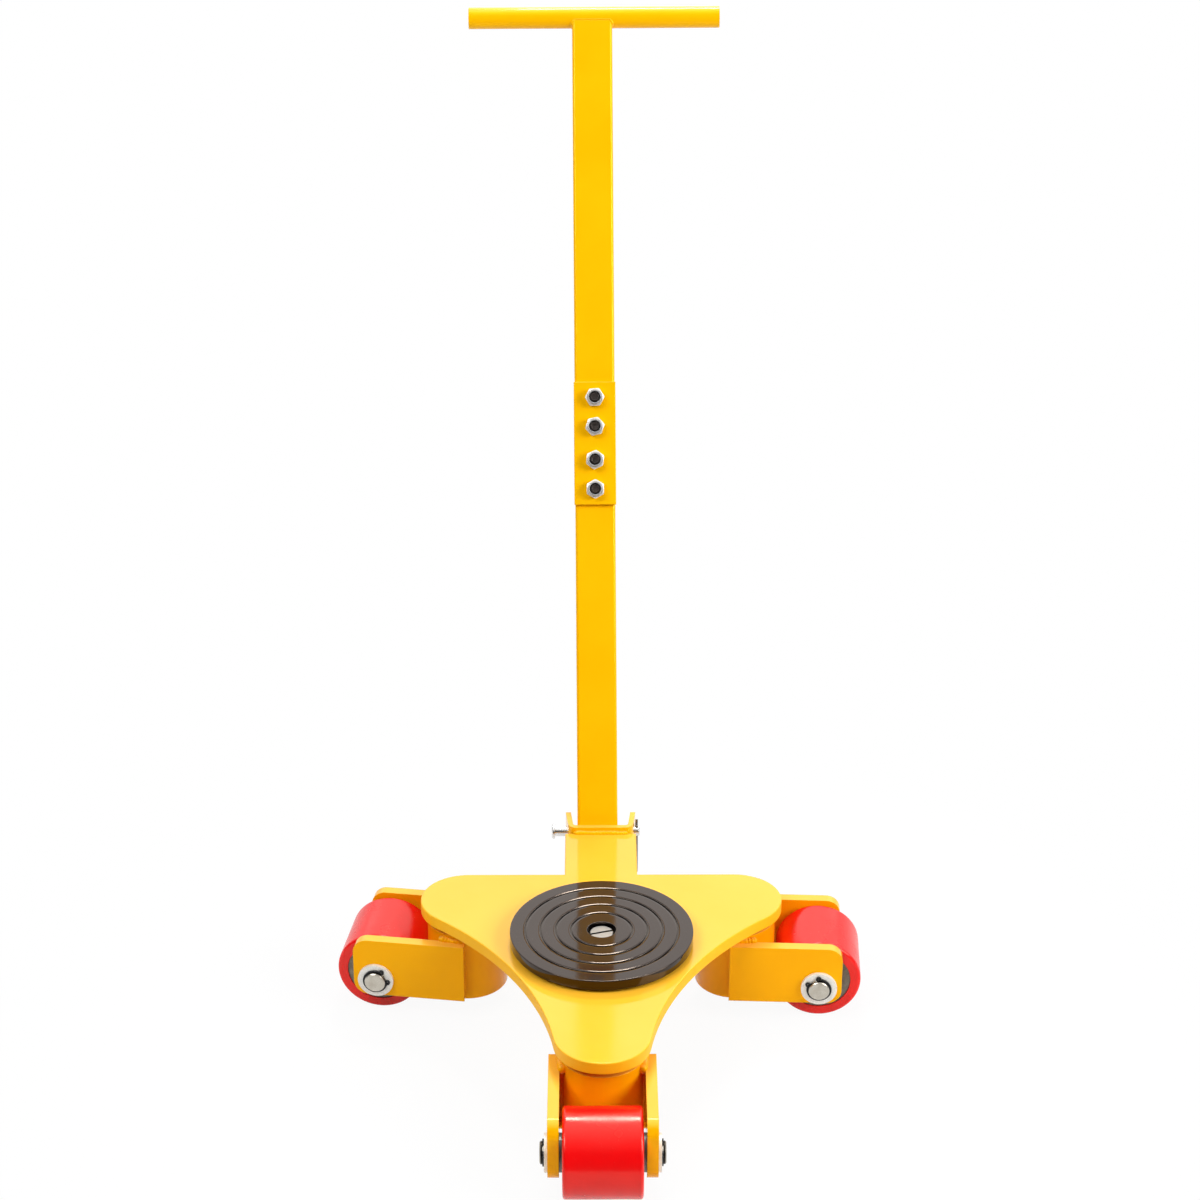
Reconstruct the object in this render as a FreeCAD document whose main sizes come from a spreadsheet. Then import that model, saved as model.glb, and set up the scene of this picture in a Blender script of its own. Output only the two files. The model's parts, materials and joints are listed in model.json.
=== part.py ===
"""Steerable machine skate: a three-lobed plate on three swivel casters, with a turning load cap
and a two-piece pull handle pinned in a clevis.

Millimetres, +Z up. The origin is the centre of the load cap's top face, +Y points to the handle.
Heights in the sizes below are measured up from the floor.
"""
import FreeCAD
import Part
import Sketcher
import math
import os
import re

from FreeCAD import Placement, Rotation, Vector

# Driving sizes in millimetres, and angles in degrees
SIZES = {
    # load cap and its pivot
    "load_height": 120.0,
    "cap_diameter": 170.0,
    "cap_thickness": 10.0,
    "cap_edge_radius": 0.8,
    "cap_ring_first_radius": 28.3,
    "cap_ring_step": 14.15,
    "cap_ring_width": 1.8,
    "cap_ring_depth": 1.4,
    "cap_recess_diameter": 27.0,
    "cap_recess_depth": 6.8,
    "post_diameter": 30.0,
    "spigot_diameter": 16.0,
    "screw_head_diameter": 22.0,
    "screw_head_thickness": 3.6,
    "screw_head_edge": 0.6,
    "screw_diameter": 10.0,
    "screw_length": 14.0,
    "screw_slot_width": 2.6,
    "screw_slot_depth": 1.6,
    "screw_slot_angle": 17.0,
    # ball thrust bearings
    "race_thickness": 3.0,
    "race_groove_depth": 1.2,
    "ball_clearance": 0.25,
    "cage_thickness": 1.4,
    "cage_width": 9.0,
    "cap_race_outer": 118.0,
    "cap_race_inner": 94.0,
    "cap_ball_diameter": 5.0,
    "swivel_race_outer": 62.0,
    "swivel_race_inner": 38.0,
    "swivel_ball_diameter": 6.0,
    # base plate
    "plate_thickness": 12.0,
    "plate_edge_radius": 1.0,
    "pivot_circle_radius": 148.0,
    "lobe_radius": 43.5,
    "plate_waist": 94.0,
    "tongue_width": 70.0,
    "tongue_reach": 194.0,
    # rollers
    "roller_diameter": 80.0,
    "roller_width": 70.0,
    "tread_edge_radius": 3.0,
    "core_diameter": 60.0,
    "core_inset": 1.0,
    "core_bore": 34.0,
    "axle_diameter": 20.0,
    "axle_overhang": 7.0,
    "axle_chamfer": 1.0,
    "roller_bearing_outer": 47.0,
    "roller_bearing_width": 14.0,
    "roller_side_gap": 2.8,
    "spacer_diameter": 34.0,
    "axle_washer_diameter": 34.0,
    "axle_washer_thickness": 3.0,
    "circlip_thickness": 1.5,
    "circlip_band": 2.6,
    "circlip_groove_depth": 0.8,
    "circlip_mouth": 7.0,
    "circlip_lug_diameter": 5.0,
    "circlip_eye_diameter": 2.0,
    # swivel forks
    "caster_trail": 80.0,
    "fork_bottom": 22.5,
    "fork_top_drop": 5.3,
    "fork_thickness": 10.0,
    "fork_rear_lap": 5.0,
    "fork_nose": 21.5,
    "fork_corner_radius": 14.0,
    "housing_bottom": 19.0,
    "housing_bore": 34.0,
    "kingpin_diameter": 25.0,
    "kingpin_thread": 20.0,
    "kingpin_end": 24.0,
    "pivot_bearing_outer": 52.0,
    "pivot_bearing_width": 15.0,
    "pivot_bearing_top": 60.0,
    "kingpin_washer_diameter": 38.0,
    "kingpin_washer_thickness": 3.0,
    "kingpin_nut_flats": 30.0,
    "kingpin_nut_height": 14.0,
    # clevis, its pin and the spring clip
    "clevis_inner_width": 53.0,
    "clevis_strap": 5.0,
    "clevis_height": 30.0,
    "clevis_rise": 6.5,
    "clevis_length": 30.0,
    "clevis_flare_angle": 6.0,
    "clevis_bend_radius": 3.0,
    "pin_setback": 14.0,
    "pin_drop": 15.4,
    "pin_diameter": 10.0,
    "pin_head_diameter": 15.0,
    "pin_head_thickness": 3.0,
    "pin_head_offset": 45.5,
    "pin_end_offset": 39.0,
    "pin_chamfer": 1.0,
    "clip_offset": 36.0,
    "clip_wire": 2.6,
    "clip_stub": 7.0,
    "clip_drop": 44.0,
    "clip_eye_radius": 5.5,
    "clip_waist_radius": 4.0,
    "clip_waist_angle": 50.0,
    "clip_flare_radius": 7.0,
    "clip_flare_angle": 40.0,
    "clip_sweep_angle": 60.0,
    # handle
    "handle_lean_angle": 26.0,
    "handle_side_angle": 0.28,
    "handle_side_shift": -3.0,
    "handle_length": 812.0,
    "tube_width": 40.0,
    "tube_depth": 20.0,
    "tube_wall": 2.0,
    "tube_corner_radius": 3.0,
    "tube_joint": 386.6,
    "tube_joint_gap": 1.0,
    "grip_diameter": 21.3,
    "grip_wall": 2.6,
    "grip_length": 250.0,
    "grip_side_shift": 2.0,
    "splice_length": 122.0,
    "splice_width": 41.5,
    "splice_thickness": 5.0,
    "splice_edge_radius": 0.8,
    "bolt_diameter": 10.0,
    "bolt_near_offset": 16.5,
    "bolt_far_offset": 45.5,
    "bolt_head_flats": 17.0,
    "bolt_head_height": 6.4,
    "bolt_end_recess": 1.0,
    "nut_flats": 17.0,
    "nut_height": 7.0,
    "nut_collar_height": 3.0,
    "nut_collar_diameter": 15.0,
    "bolt_washer_diameter": 20.0,
    "bolt_washer_thickness": 2.0,
    # fits
    "fixed_fit": 0.05,
    "running_fit": 0.06,
    "side_clearance": 0.3,
    "pin_clearance": 0.4,
    "bolt_clearance": 0.4,
    "stop_clearance": 0.3,
    "overrun": 5.0,
}

# Shares of a bearing's wall taken by each ring, and of a ring's width by the seal between them
BEARING_RING_SHARE = 0.3
SEAL_WIDTH_SHARE = 0.9

# Two places closer than this count as one
NEAR = 0.001

# Size that a new sketch item starts with, until its expressions set it
ROUGH = 1.0

# Counts
CAP_RINGS = 4
CAP_BALLS = 24
SWIVEL_BALLS = 12
HEX_SIDES = 6

# Lengths that follow from the driving sizes
DERIVED = {
    "cap_radius": "cap_diameter / 2",
    "cap_bottom": "load_height - cap_thickness",
    "cap_recess_floor": "load_height - cap_recess_depth",
    "cap_race_gap": "cap_ball_diameter - 2 * race_groove_depth + 2 * ball_clearance",
    "cap_pitch": "(cap_race_outer + cap_race_inner) / 4",
    "cap_ball_level": "cap_bottom - cap_race_gap / 2",
    "spigot_top": "cap_recess_floor + side_clearance",
    "plate_top": "cap_bottom - cap_race_gap",
    "plate_bottom": "plate_top - plate_thickness",
    "waist_depth": "plate_waist - pivot_circle_radius / 2",
    "waist_radius": "(3 / 4 * pivot_circle_radius ^ 2 + waist_depth ^ 2 - lobe_radius ^ 2)"
                    " / (2 * (lobe_radius - waist_depth))",
    "swivel_race_gap": "swivel_ball_diameter - 2 * race_groove_depth + 2 * ball_clearance",
    "swivel_pitch": "(swivel_race_outer + swivel_race_inner) / 4",
    "upper_race_face": "plate_bottom - race_thickness",
    "housing_top": "upper_race_face - swivel_race_gap",
    "fork_top": "housing_top - fork_top_drop",
    "swivel_ball_level": "housing_top + swivel_race_gap / 2",
    "roller_radius": "roller_diameter / 2",
    "axle_radius": "axle_diameter / 2",
    "core_face": "roller_width / 2 - core_inset",
    "fork_gap": "roller_width + 2 * roller_side_gap",
    "fork_face": "fork_gap / 2 + fork_thickness",
    "axle_end": "fork_face + axle_overhang",
    "circlip_seat": "fork_face + axle_washer_thickness",
    "circlip_groove_radius": "axle_radius - circlip_groove_depth",
    "circlip_inner": "circlip_groove_radius + fixed_fit",
    "circlip_outer": "circlip_inner + circlip_band",
    "pivot_bearing_bottom": "pivot_bearing_top - pivot_bearing_width",
    "kingpin_washer_top": "pivot_bearing_bottom - side_clearance",
    "kingpin_nut_top": "kingpin_washer_top - kingpin_washer_thickness",
    "clevis_top": "plate_top + clevis_rise",
    "pin_height": "clevis_top - pin_drop",
    "clevis_back": "tongue_reach + clevis_length",
    "clevis_inner": "clevis_inner_width / 2",
    "clevis_flare_tangent": "tan(clevis_flare_angle * 1 deg)",
    "clevis_flare_wall": "clevis_strap / cos(clevis_flare_angle * 1 deg)",
    "clip_hug": "pin_diameter / 2 + clip_wire / 2 + pin_clearance",
    "tube_tail": "(pin_setback - stop_clearance - tube_depth / 2 * cos(handle_lean_angle * 1 deg))"
                 " / sin(handle_lean_angle * 1 deg)",
    "splice_face": "tube_depth / 2 + splice_thickness",
    "nut_top": "splice_face + nut_height + nut_collar_height",
}

WORD = re.compile(r"[a-z_]+[a-z_0-9]*")


def bound(text):
    """Spell an expression in driving sizes, with every name tied to its cell."""
    def cell(match):
        word = match.group(0)
        if word in DERIVED:
            return "(" + bound(DERIVED[word]) + ")"
        return "Sizes." + word if word in SIZES else word
    return WORD.sub(cell, text)


doc = FreeCAD.newDocument("machine_skate")
sheet = doc.addObject("Spreadsheet::Sheet", "Sizes")
for row, (alias, number) in enumerate(SIZES.items(), start=1):
    sheet.set("A%d" % row, str(number))
    sheet.setAlias("A%d" % row, alias)
doc.recompute()

nodes = []


def size(text):
    """Work out an expression in driving sizes from the sheet."""
    return float(sheet.evalExpression(bound(text)))


def keep(item, label, place):
    """Name a finished sub-part, put it in its place and list it for writing."""
    item.Label = label
    item.Placement = place
    nodes.append(item)
    return item


# Sketch and feature helpers

def towards(angle):
    """Unit vector at an angle in radians from +X."""
    return Vector(math.cos(angle), math.sin(angle), 0)


def new_body(name):
    """Start a body of its own."""
    return doc.addObject("PartDesign::Body", name)


def new_sketch(body, plane, level="0"):
    """Start a sketch on one of the body's origin planes, lifted to a level."""
    sketch = body.newObject("Sketcher::SketchObject", body.Name + "_outline")
    role = plane + "_Plane"
    support = [item for item in body.Origin.OriginFeatures if item.Role == role][0]
    sketch.AttachmentSupport = [(support, "")]
    sketch.MapMode = "FlatFace"
    sketch.setExpression("AttachmentOffset.Base.z", bound(level))
    return sketch


def tie(sketch, kind, geometry, point, text):
    """Tie one point of a sketch to its distance from the sketch's origin along one axis."""
    index = sketch.addConstraint(Sketcher.Constraint(kind, -1, 1, geometry, point, ROUGH))
    sketch.setExpression("Constraints[%d]" % index, bound(text))


def pin_point(sketch, geometry, point, across, up):
    """Tie one point of a sketch along both axes."""
    tie(sketch, "DistanceX", geometry, point, across)
    tie(sketch, "DistanceY", geometry, point, up)


def set_radius(sketch, geometry, radius):
    """Tie the radius of a circle or arc to an expression."""
    index = sketch.addConstraint(Sketcher.Constraint("Radius", geometry, ROUGH))
    sketch.setExpression("Constraints[%d]" % index, bound(radius))


def add_polygon(sketch, corners):
    """Add a closed run of straight lines through corners given as pairs of expressions."""
    count = len(corners)
    turn = 2 * math.pi / count
    rough = [towards(turn * i) * ROUGH for i in range(count)]
    lines = []
    for i in range(count):
        lines.append(sketch.addGeometry(Part.LineSegment(rough[i], rough[(i + 1) % count])))
    for i, line in enumerate(lines):
        following = lines[(i + 1) % count]
        sketch.addConstraint(Sketcher.Constraint("Coincident", line, 2, following, 1))
        pin_point(sketch, line, 1, *corners[i])
    return lines


def add_circle(sketch, across, up, radius):
    """Add a circle whose centre and radius are expressions."""
    circle = sketch.addGeometry(Part.Circle(Vector(), Vector(0, 0, 1), ROUGH))
    pin_point(sketch, circle, 3, across, up)
    set_radius(sketch, circle, radius)


def turned(name, corners):
    """Turn a closed outline of (radius, height) corners about the body's Z axis."""
    body = new_body(name)
    sketch = new_sketch(body, "XZ")
    add_polygon(sketch, corners)
    turning = body.newObject("PartDesign::Revolution", name + "_turned")
    turning.Profile = sketch
    turning.ReferenceAxis = (sketch, ["V_Axis"])
    turning.Angle = 360
    return body


def ring_corners(inner, outer, low, high):
    """Corners of a plain ring's section."""
    return [(inner, low), (outer, low), (outer, high), (inner, high)]


def ring(name, inner, outer, low, high):
    """Plain ring between two radii and two levels."""
    return turned(name, ring_corners(inner, outer, low, high))


def padded(name, plane, corners, depth, level="0", holes=()):
    """Pad a closed outline with round holes given as (across, up, radius)."""
    body = new_body(name)
    sketch = new_sketch(body, plane, level)
    add_polygon(sketch, corners)
    for hole in holes:
        add_circle(sketch, *hole)
    pad = body.newObject("PartDesign::Pad", name + "_pad")
    pad.Profile = sketch
    pad.setExpression("Length", bound(depth))
    return body


def groove(body, name, corners):
    """Turn a closed outline about the body's Z axis and take it away."""
    sketch = new_sketch(body, "XZ")
    add_polygon(sketch, corners)
    doc.recompute()
    before = body.Shape.Volume
    cut = body.newObject("PartDesign::Groove", name)
    cut.Profile = sketch
    cut.ReferenceAxis = (sketch, ["V_Axis"])
    cut.Angle = 360
    doc.recompute()
    assert body.Shape.Volume < before, name


def round_edges(body, name, radius, wanted):
    """Round the edges of a body's last feature that a test picks out."""
    doc.recompute()
    base = body.Tip
    names = ["Edge%d" % i for i, edge in enumerate(base.Shape.Edges, start=1) if wanted(edge)]
    fillet = body.newObject("PartDesign::Fillet", name)
    fillet.Base = (base, names)
    fillet.setExpression("Radius", bound(radius))
    doc.recompute()


def cylinder(name, radius, height, across="0", along="0", up="0", axis=None):
    """Cylinder with bound sizes, standing at a bound point and turned to an axis."""
    item = doc.addObject("Part::Cylinder", name)
    if axis:
        item.Placement = Placement(Vector(), Rotation(Vector(0, 0, 1), axis))
    item.setExpression("Radius", bound(radius))
    item.setExpression("Height", bound(height))
    for letter, text in zip("xyz", (across, along, up)):
        item.setExpression("Placement.Base." + letter, bound(text))
    return item


def hexagon(name, flats, height, up="0"):
    """Upright hexagonal prism with bound flats and height."""
    item = doc.addObject("Part::Prism", name)
    item.Polygon = HEX_SIDES
    item.setExpression("Circumradius", bound("(" + flats + ") / sqrt(3)"))
    item.setExpression("Height", bound(height))
    item.setExpression("Placement.Base.z", bound(up))
    return item


def cut(name, base, tool):
    """Take one object away from another."""
    item = doc.addObject("Part::Cut", name)
    item.Base = base
    item.Tool = tool
    return item


def fuse(name, items):
    """Join objects to one solid."""
    item = doc.addObject("Part::MultiFuse", name)
    item.Shapes = items
    return item


def group(name, items):
    """Hold separate solids together as one sub-part."""
    item = doc.addObject("Part::Compound", name)
    item.Links = items
    return item


# Bearings

def race(name, inner, outer, low, pitch, ball_level, ball):
    """Bearing race: a flat ring with the balls' track in it."""
    blank = ring(name + "_blank", inner + " / 2", outer + " / 2", low, low + " + race_thickness")
    track = doc.addObject("Part::Torus", name + "_track")
    track.setExpression("Radius1", bound(pitch))
    track.setExpression("Radius2", bound(ball + " / 2 + ball_clearance"))
    track.setExpression("Placement.Base.z", bound(ball_level))
    return cut(name + "_race", blank, track)


def ball_ring(name, count, pitch, ball_level, ball):
    """Caged balls of a thrust bearing: the balls, and the cage with a hole for each."""
    balls = []
    holes = []
    for i in range(count):
        turn = "%d * 360 deg / %d" % (i, count)
        for holder, label, radius in (
            (balls, "_ball", ball + " / 2"),
            (holes, "_hole", ball + " / 2 + ball_clearance / 2"),
        ):
            sphere = doc.addObject("Part::Sphere", name + label + str(i))
            sphere.setExpression("Radius", bound(radius))
            sphere.setExpression("Placement.Base.x", bound(pitch + " * cos(" + turn + ")"))
            sphere.setExpression("Placement.Base.y", bound(pitch + " * sin(" + turn + ")"))
            sphere.setExpression("Placement.Base.z", bound(ball_level))
            holder.append(sphere)
    blank = ring(
        name + "_cage_blank",
        pitch + " - cage_width / 2",
        pitch + " + cage_width / 2",
        ball_level + " - cage_thickness / 2",
        ball_level + " + cage_thickness / 2",
    )
    cage = cut(name + "_cage", blank, group(name + "_holes", holes))
    return [cage] + balls


def sealed_bearing(name, bore, outer, low, width):
    """Sealed ball bearing: inner ring, seal and outer ring, each clear of the next."""
    wall = "(" + outer + " - (" + bore + "))"
    inner_edge = "%s + %s * %s" % (bore, wall, BEARING_RING_SHARE)
    outer_edge = "%s - %s * %s" % (outer, wall, BEARING_RING_SHARE)
    margin = "(%s) * (1 - %s) / 2" % (width, SEAL_WIDTH_SHARE)
    high = low + " + " + width
    return [
        ring(name + "_inner", bore, inner_edge, low, high),
        ring(name + "_seal", inner_edge + " + fixed_fit", outer_edge + " - fixed_fit",
             low + " + " + margin, high + " - " + margin),
        ring(name + "_outer", outer_edge, outer, low, high),
    ]


# Load cap, its bearing and its pivot

def build_load_cap(place):
    """Round cap with concentric rings in its face, a recess for the screw and a seat for its race."""
    corners = [
        ("spigot_diameter / 2 + running_fit", "cap_bottom"),
        ("cap_race_inner / 2 - fixed_fit", "cap_bottom"),
        ("cap_race_inner / 2 - fixed_fit", "cap_bottom + race_thickness"),
        ("cap_race_outer / 2 + fixed_fit", "cap_bottom + race_thickness"),
        ("cap_race_outer / 2 + fixed_fit", "cap_bottom"),
        ("cap_radius", "cap_bottom"),
        ("cap_radius", "load_height"),
    ]
    for i in reversed(range(CAP_RINGS)):
        middle = "cap_ring_first_radius + %d * cap_ring_step" % i
        outer_side = middle + " + cap_ring_width / 2"
        inner_side = middle + " - cap_ring_width / 2"
        floor = "load_height - cap_ring_depth"
        corners += [(outer_side, "load_height"), (outer_side, floor)]
        corners += [(inner_side, floor), (inner_side, "load_height")]
    corners += [
        ("cap_recess_diameter / 2", "load_height"),
        ("cap_recess_diameter / 2", "cap_recess_floor"),
        ("spigot_diameter / 2 + running_fit", "cap_recess_floor"),
    ]
    cap = turned("cap_body", corners)
    rim = size("cap_radius")
    round_edges(cap, "cap_rim", "cap_edge_radius", lambda edge: is_circle(edge, rim))
    keep(cap, "load_cap", place)

    upper = race("cap_upper", "cap_race_inner", "cap_race_outer", "cap_bottom",
                 "cap_pitch", "cap_ball_level", "cap_ball_diameter")
    keep(upper, "cap_upper_race", place)
    lower = race("cap_lower", "cap_race_inner", "cap_race_outer", "plate_top - race_thickness",
                 "cap_pitch", "cap_ball_level", "cap_ball_diameter")
    keep(lower, "cap_lower_race", place)
    balls = ball_ring("cap", CAP_BALLS, "cap_pitch", "cap_ball_level", "cap_ball_diameter")
    keep(group("cap_balls", balls), "cap_ball_cage", place)


def is_circle(edge, radius):
    """Say whether an edge is a circle of a given radius."""
    curve = edge.Curve
    return isinstance(curve, Part.Circle) and abs(curve.Radius - radius) < NEAR


def build_cap_pivot(place):
    """Post set in the plate for the cap to turn on, and the slotted screw that holds the cap down."""
    post = turned("post_body", [
        ("screw_diameter / 2 + fixed_fit", "plate_bottom"),
        ("post_diameter / 2", "plate_bottom"),
        ("post_diameter / 2", "plate_top"),
        ("spigot_diameter / 2", "plate_top"),
        ("spigot_diameter / 2", "spigot_top"),
        ("screw_diameter / 2 + fixed_fit", "spigot_top"),
    ])
    keep(post, "cap_pivot_post", place)
    head_top = "spigot_top + screw_head_thickness"
    blank = turned("screw_blank", [
        ("0", "spigot_top - screw_length"),
        ("screw_diameter / 2", "spigot_top - screw_length"),
        ("screw_diameter / 2", "spigot_top"),
        ("screw_head_diameter / 2", "spigot_top"),
        ("screw_head_diameter / 2", head_top + " - screw_head_edge"),
        ("screw_head_diameter / 2 - screw_head_edge", head_top),
        ("0", head_top),
    ])
    slot = doc.addObject("Part::Box", "screw_slot")
    slot.setExpression("Length", bound("screw_head_diameter + 2 * overrun"))
    slot.setExpression("Width", bound("screw_slot_width"))
    slot.setExpression("Height", bound("screw_slot_depth + overrun"))
    slot.setExpression("Placement.Base.x", bound("-screw_head_diameter / 2 - overrun"))
    slot.setExpression("Placement.Base.y", bound("-screw_slot_width / 2"))
    slot.setExpression("Placement.Base.z", bound(head_top + " - screw_slot_depth"))
    screw = cut("screw_slotted", blank, slot)
    turn = Placement(Vector(), Rotation(Vector(0, 0, 1), size("screw_slot_angle")))
    keep(screw, "cap_screw", place * turn)


# Base plate

def arc(sketch, centre, radius, start, end):
    """Add an arc that runs counter-clockwise between two angles in radians."""
    circle = Part.Circle(centre, Vector(0, 0, 1), radius)
    sweep = (end - start) % (2 * math.pi)
    return sketch.addGeometry(Part.ArcOfCircle(circle, start, start + sweep))


def heading_of(origin, target):
    """Angle of the line from one point to another."""
    return math.atan2(target.y - origin.y, target.x - origin.x)


def build_base_plate(place):
    """Three-lobed plate with hollow front sides and a tongue at the back, holed for the cap's post."""
    circle = size("pivot_circle_radius")
    lobe = size("lobe_radius")
    waist = size("plate_waist")
    hollow = size("waist_radius")
    sixth = math.pi / 6
    right = towards(sixth) * circle
    left = Vector(-right.x, right.y, 0)
    front = Vector(0, -circle, 0)
    hollow_right = towards(-sixth) * (waist + hollow)
    hollow_left = Vector(-hollow_right.x, hollow_right.y, 0)

    body = new_body("plate_body")
    sketch = new_sketch(body, "XY", "plate_bottom")
    back = right.y + lobe
    half = size("tongue_width / 2")
    reach = size("tongue_reach")
    quarter = math.pi / 2
    corners = [Vector(right.x, back, 0), Vector(half, back, 0), Vector(half, reach, 0),
               Vector(-half, reach, 0), Vector(-half, back, 0), Vector(left.x, back, 0)]
    right_edge, right_side, end, left_side, left_edge = [
        sketch.addGeometry(Part.LineSegment(corners[i], corners[i + 1])) for i in range(5)]
    left_lobe = arc(sketch, left, lobe, quarter, heading_of(left, hollow_left))
    left_hollow = arc(sketch, hollow_left, hollow,
                      heading_of(hollow_left, front), heading_of(hollow_left, left))
    front_lobe = arc(sketch, front, lobe, heading_of(front, hollow_left), heading_of(front, hollow_right))
    right_hollow = arc(sketch, hollow_right, hollow,
                       heading_of(hollow_right, right), heading_of(hollow_right, front))
    right_lobe = arc(sketch, right, lobe, heading_of(right, hollow_right), quarter)

    constrain = sketch.addConstraint
    for first, second in (
        (right_edge, right_side), (right_side, end), (end, left_side), (left_side, left_edge),
    ):
        constrain(Sketcher.Constraint("Coincident", first, 2, second, 1))
    for first, first_end, second, second_end in (
        (left_edge, 2, left_lobe, 1), (left_lobe, 2, left_hollow, 2), (left_hollow, 1, front_lobe, 1),
        (front_lobe, 2, right_hollow, 2), (right_hollow, 1, right_lobe, 1), (right_lobe, 2, right_edge, 1),
    ):
        constrain(Sketcher.Constraint("Tangent", first, first_end, second, second_end))
    for line in (right_edge, end, left_edge):
        constrain(Sketcher.Constraint("Horizontal", line))
    for line in (right_side, left_side):
        constrain(Sketcher.Constraint("Vertical", line))
    pin_point(sketch, end, 1, "tongue_width / 2", "tongue_reach")
    tie(sketch, "DistanceX", left_side, 1, "-tongue_width / 2")
    pin_point(sketch, left_lobe, 3, "-pivot_circle_radius * cos(30 deg)", "pivot_circle_radius * sin(30 deg)")
    pin_point(sketch, right_lobe, 3, "pivot_circle_radius * cos(30 deg)", "pivot_circle_radius * sin(30 deg)")
    pin_point(sketch, front_lobe, 3, "0", "-pivot_circle_radius")
    set_radius(sketch, left_lobe, "lobe_radius")
    set_radius(sketch, left_hollow, "waist_radius")
    constrain(Sketcher.Constraint("Equal", left_lobe, right_lobe))
    constrain(Sketcher.Constraint("Equal", left_lobe, front_lobe))
    constrain(Sketcher.Constraint("Equal", left_hollow, right_hollow))

    pad = body.newObject("PartDesign::Pad", "plate_pad")
    pad.Profile = sketch
    pad.setExpression("Length", bound("plate_thickness"))
    doc.recompute()
    round_edges(body, "plate_rim", "plate_edge_radius", lies_flat)
    groove(body, "plate_race_seat", ring_corners(
        "cap_race_inner / 2 - fixed_fit", "cap_race_outer / 2 + fixed_fit",
        "plate_top - race_thickness", "plate_top + overrun"))
    groove(body, "plate_post_hole", ring_corners(
        "0", "post_diameter / 2 + fixed_fit", "plate_bottom - overrun", "plate_top + overrun"))
    keep(body, "base_plate", place)


def lies_flat(edge):
    """Say whether an edge lies level."""
    box = edge.BoundBox
    return box.ZLength < NEAR


# Casters

def fork_plate(name):
    """Flat fork side, rounded at its nose, from its inner face at y = 0 towards -Y."""
    nose = "caster_trail + fork_nose"
    rear = "-fork_rear_lap"
    corners = [(rear, "fork_bottom"), (nose, "fork_bottom"), (nose, "fork_top"), (rear, "fork_top")]
    body = padded(name, "XZ", corners, "fork_thickness",
                  holes=[("caster_trail", "roller_radius", "axle_radius + fixed_fit")])
    tip = size(nose)
    round_edges(body, name + "_nose", "fork_corner_radius",
                lambda edge: edge.BoundBox.XLength < NEAR
                and edge.BoundBox.ZLength < NEAR
                and abs(edge.BoundBox.XMax - tip) < NEAR)
    return body


def build_swivel(which, place):
    """Swivel of one caster: the housing, its forks, and the bearings that turn on the kingpin."""
    housing = turned("housing_" + which, [
        ("housing_bore / 2", "pivot_bearing_top"),
        ("pivot_bearing_outer / 2 + fixed_fit", "pivot_bearing_top"),
        ("pivot_bearing_outer / 2 + fixed_fit", "housing_bottom"),
        ("fork_gap / 2", "housing_bottom"),
        ("fork_gap / 2", "housing_top"),
        ("swivel_race_outer / 2 + fixed_fit", "housing_top"),
        ("swivel_race_outer / 2 + fixed_fit", "housing_top - race_thickness"),
        ("housing_bore / 2", "housing_top - race_thickness"),
    ])
    keep(housing, "swivel_housing_" + which, place)
    for side, offset in (("left", size("fork_face")), ("right", -size("fork_gap / 2"))):
        plate = fork_plate("fork_" + side + "_" + which)
        beside = Placement(Vector(0, offset, 0), Rotation())
        keep(plate, "fork_plate_" + side + "_" + which, place * beside)

    track = ("swivel_pitch", "swivel_ball_level", "swivel_ball_diameter")
    lower = race("swivel_lower_" + which, "swivel_race_inner", "swivel_race_outer",
                 "housing_top - race_thickness", *track)
    balls = ball_ring("swivel_" + which, SWIVEL_BALLS, *track)
    keep(group("swivel_thrust_" + which, [lower] + balls), "swivel_thrust_bearing_" + which, place)
    rings = sealed_bearing("pivot_" + which, "kingpin_diameter / 2 + running_fit", "pivot_bearing_outer / 2",
                           "pivot_bearing_bottom", "pivot_bearing_width")
    keep(group("pivot_rings_" + which, rings), "pivot_bearing_" + which, place)


def build_kingpin(which, place):
    """Kingpin under the plate, the upper race on its shoulder, and the nut that holds the swivel up."""
    kingpin = turned("kingpin_body_" + which, [
        ("0", "kingpin_end"),
        ("kingpin_thread / 2", "kingpin_end"),
        ("kingpin_thread / 2", "kingpin_washer_top"),
        ("kingpin_diameter / 2", "kingpin_washer_top"),
        ("kingpin_diameter / 2", "upper_race_face"),
        ("swivel_race_inner / 2 - fixed_fit", "upper_race_face"),
        ("swivel_race_inner / 2 - fixed_fit", "plate_bottom"),
        ("0", "plate_bottom"),
    ])
    keep(kingpin, "kingpin_" + which, place)
    upper = race("swivel_upper_" + which, "swivel_race_inner", "swivel_race_outer", "upper_race_face",
                 "swivel_pitch", "swivel_ball_level", "swivel_ball_diameter")
    keep(upper, "swivel_upper_race_" + which, place)
    washer = ring("kingpin_washer_" + which, "kingpin_thread / 2 + fixed_fit", "kingpin_washer_diameter / 2",
                  "kingpin_nut_top", "kingpin_washer_top")
    blank = hexagon("kingpin_hex_" + which, "kingpin_nut_flats", "kingpin_nut_height",
                    "kingpin_nut_top - kingpin_nut_height")
    bore = cylinder("kingpin_thread_" + which, "kingpin_thread / 2 + fixed_fit",
                    "kingpin_nut_height + 2 * overrun", up="kingpin_nut_top - kingpin_nut_height - overrun")
    nut = cut("kingpin_nut_cut_" + which, blank, bore)
    keep(group("kingpin_fastening_" + which, [washer, nut]), "kingpin_nut_" + which, place)


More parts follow.
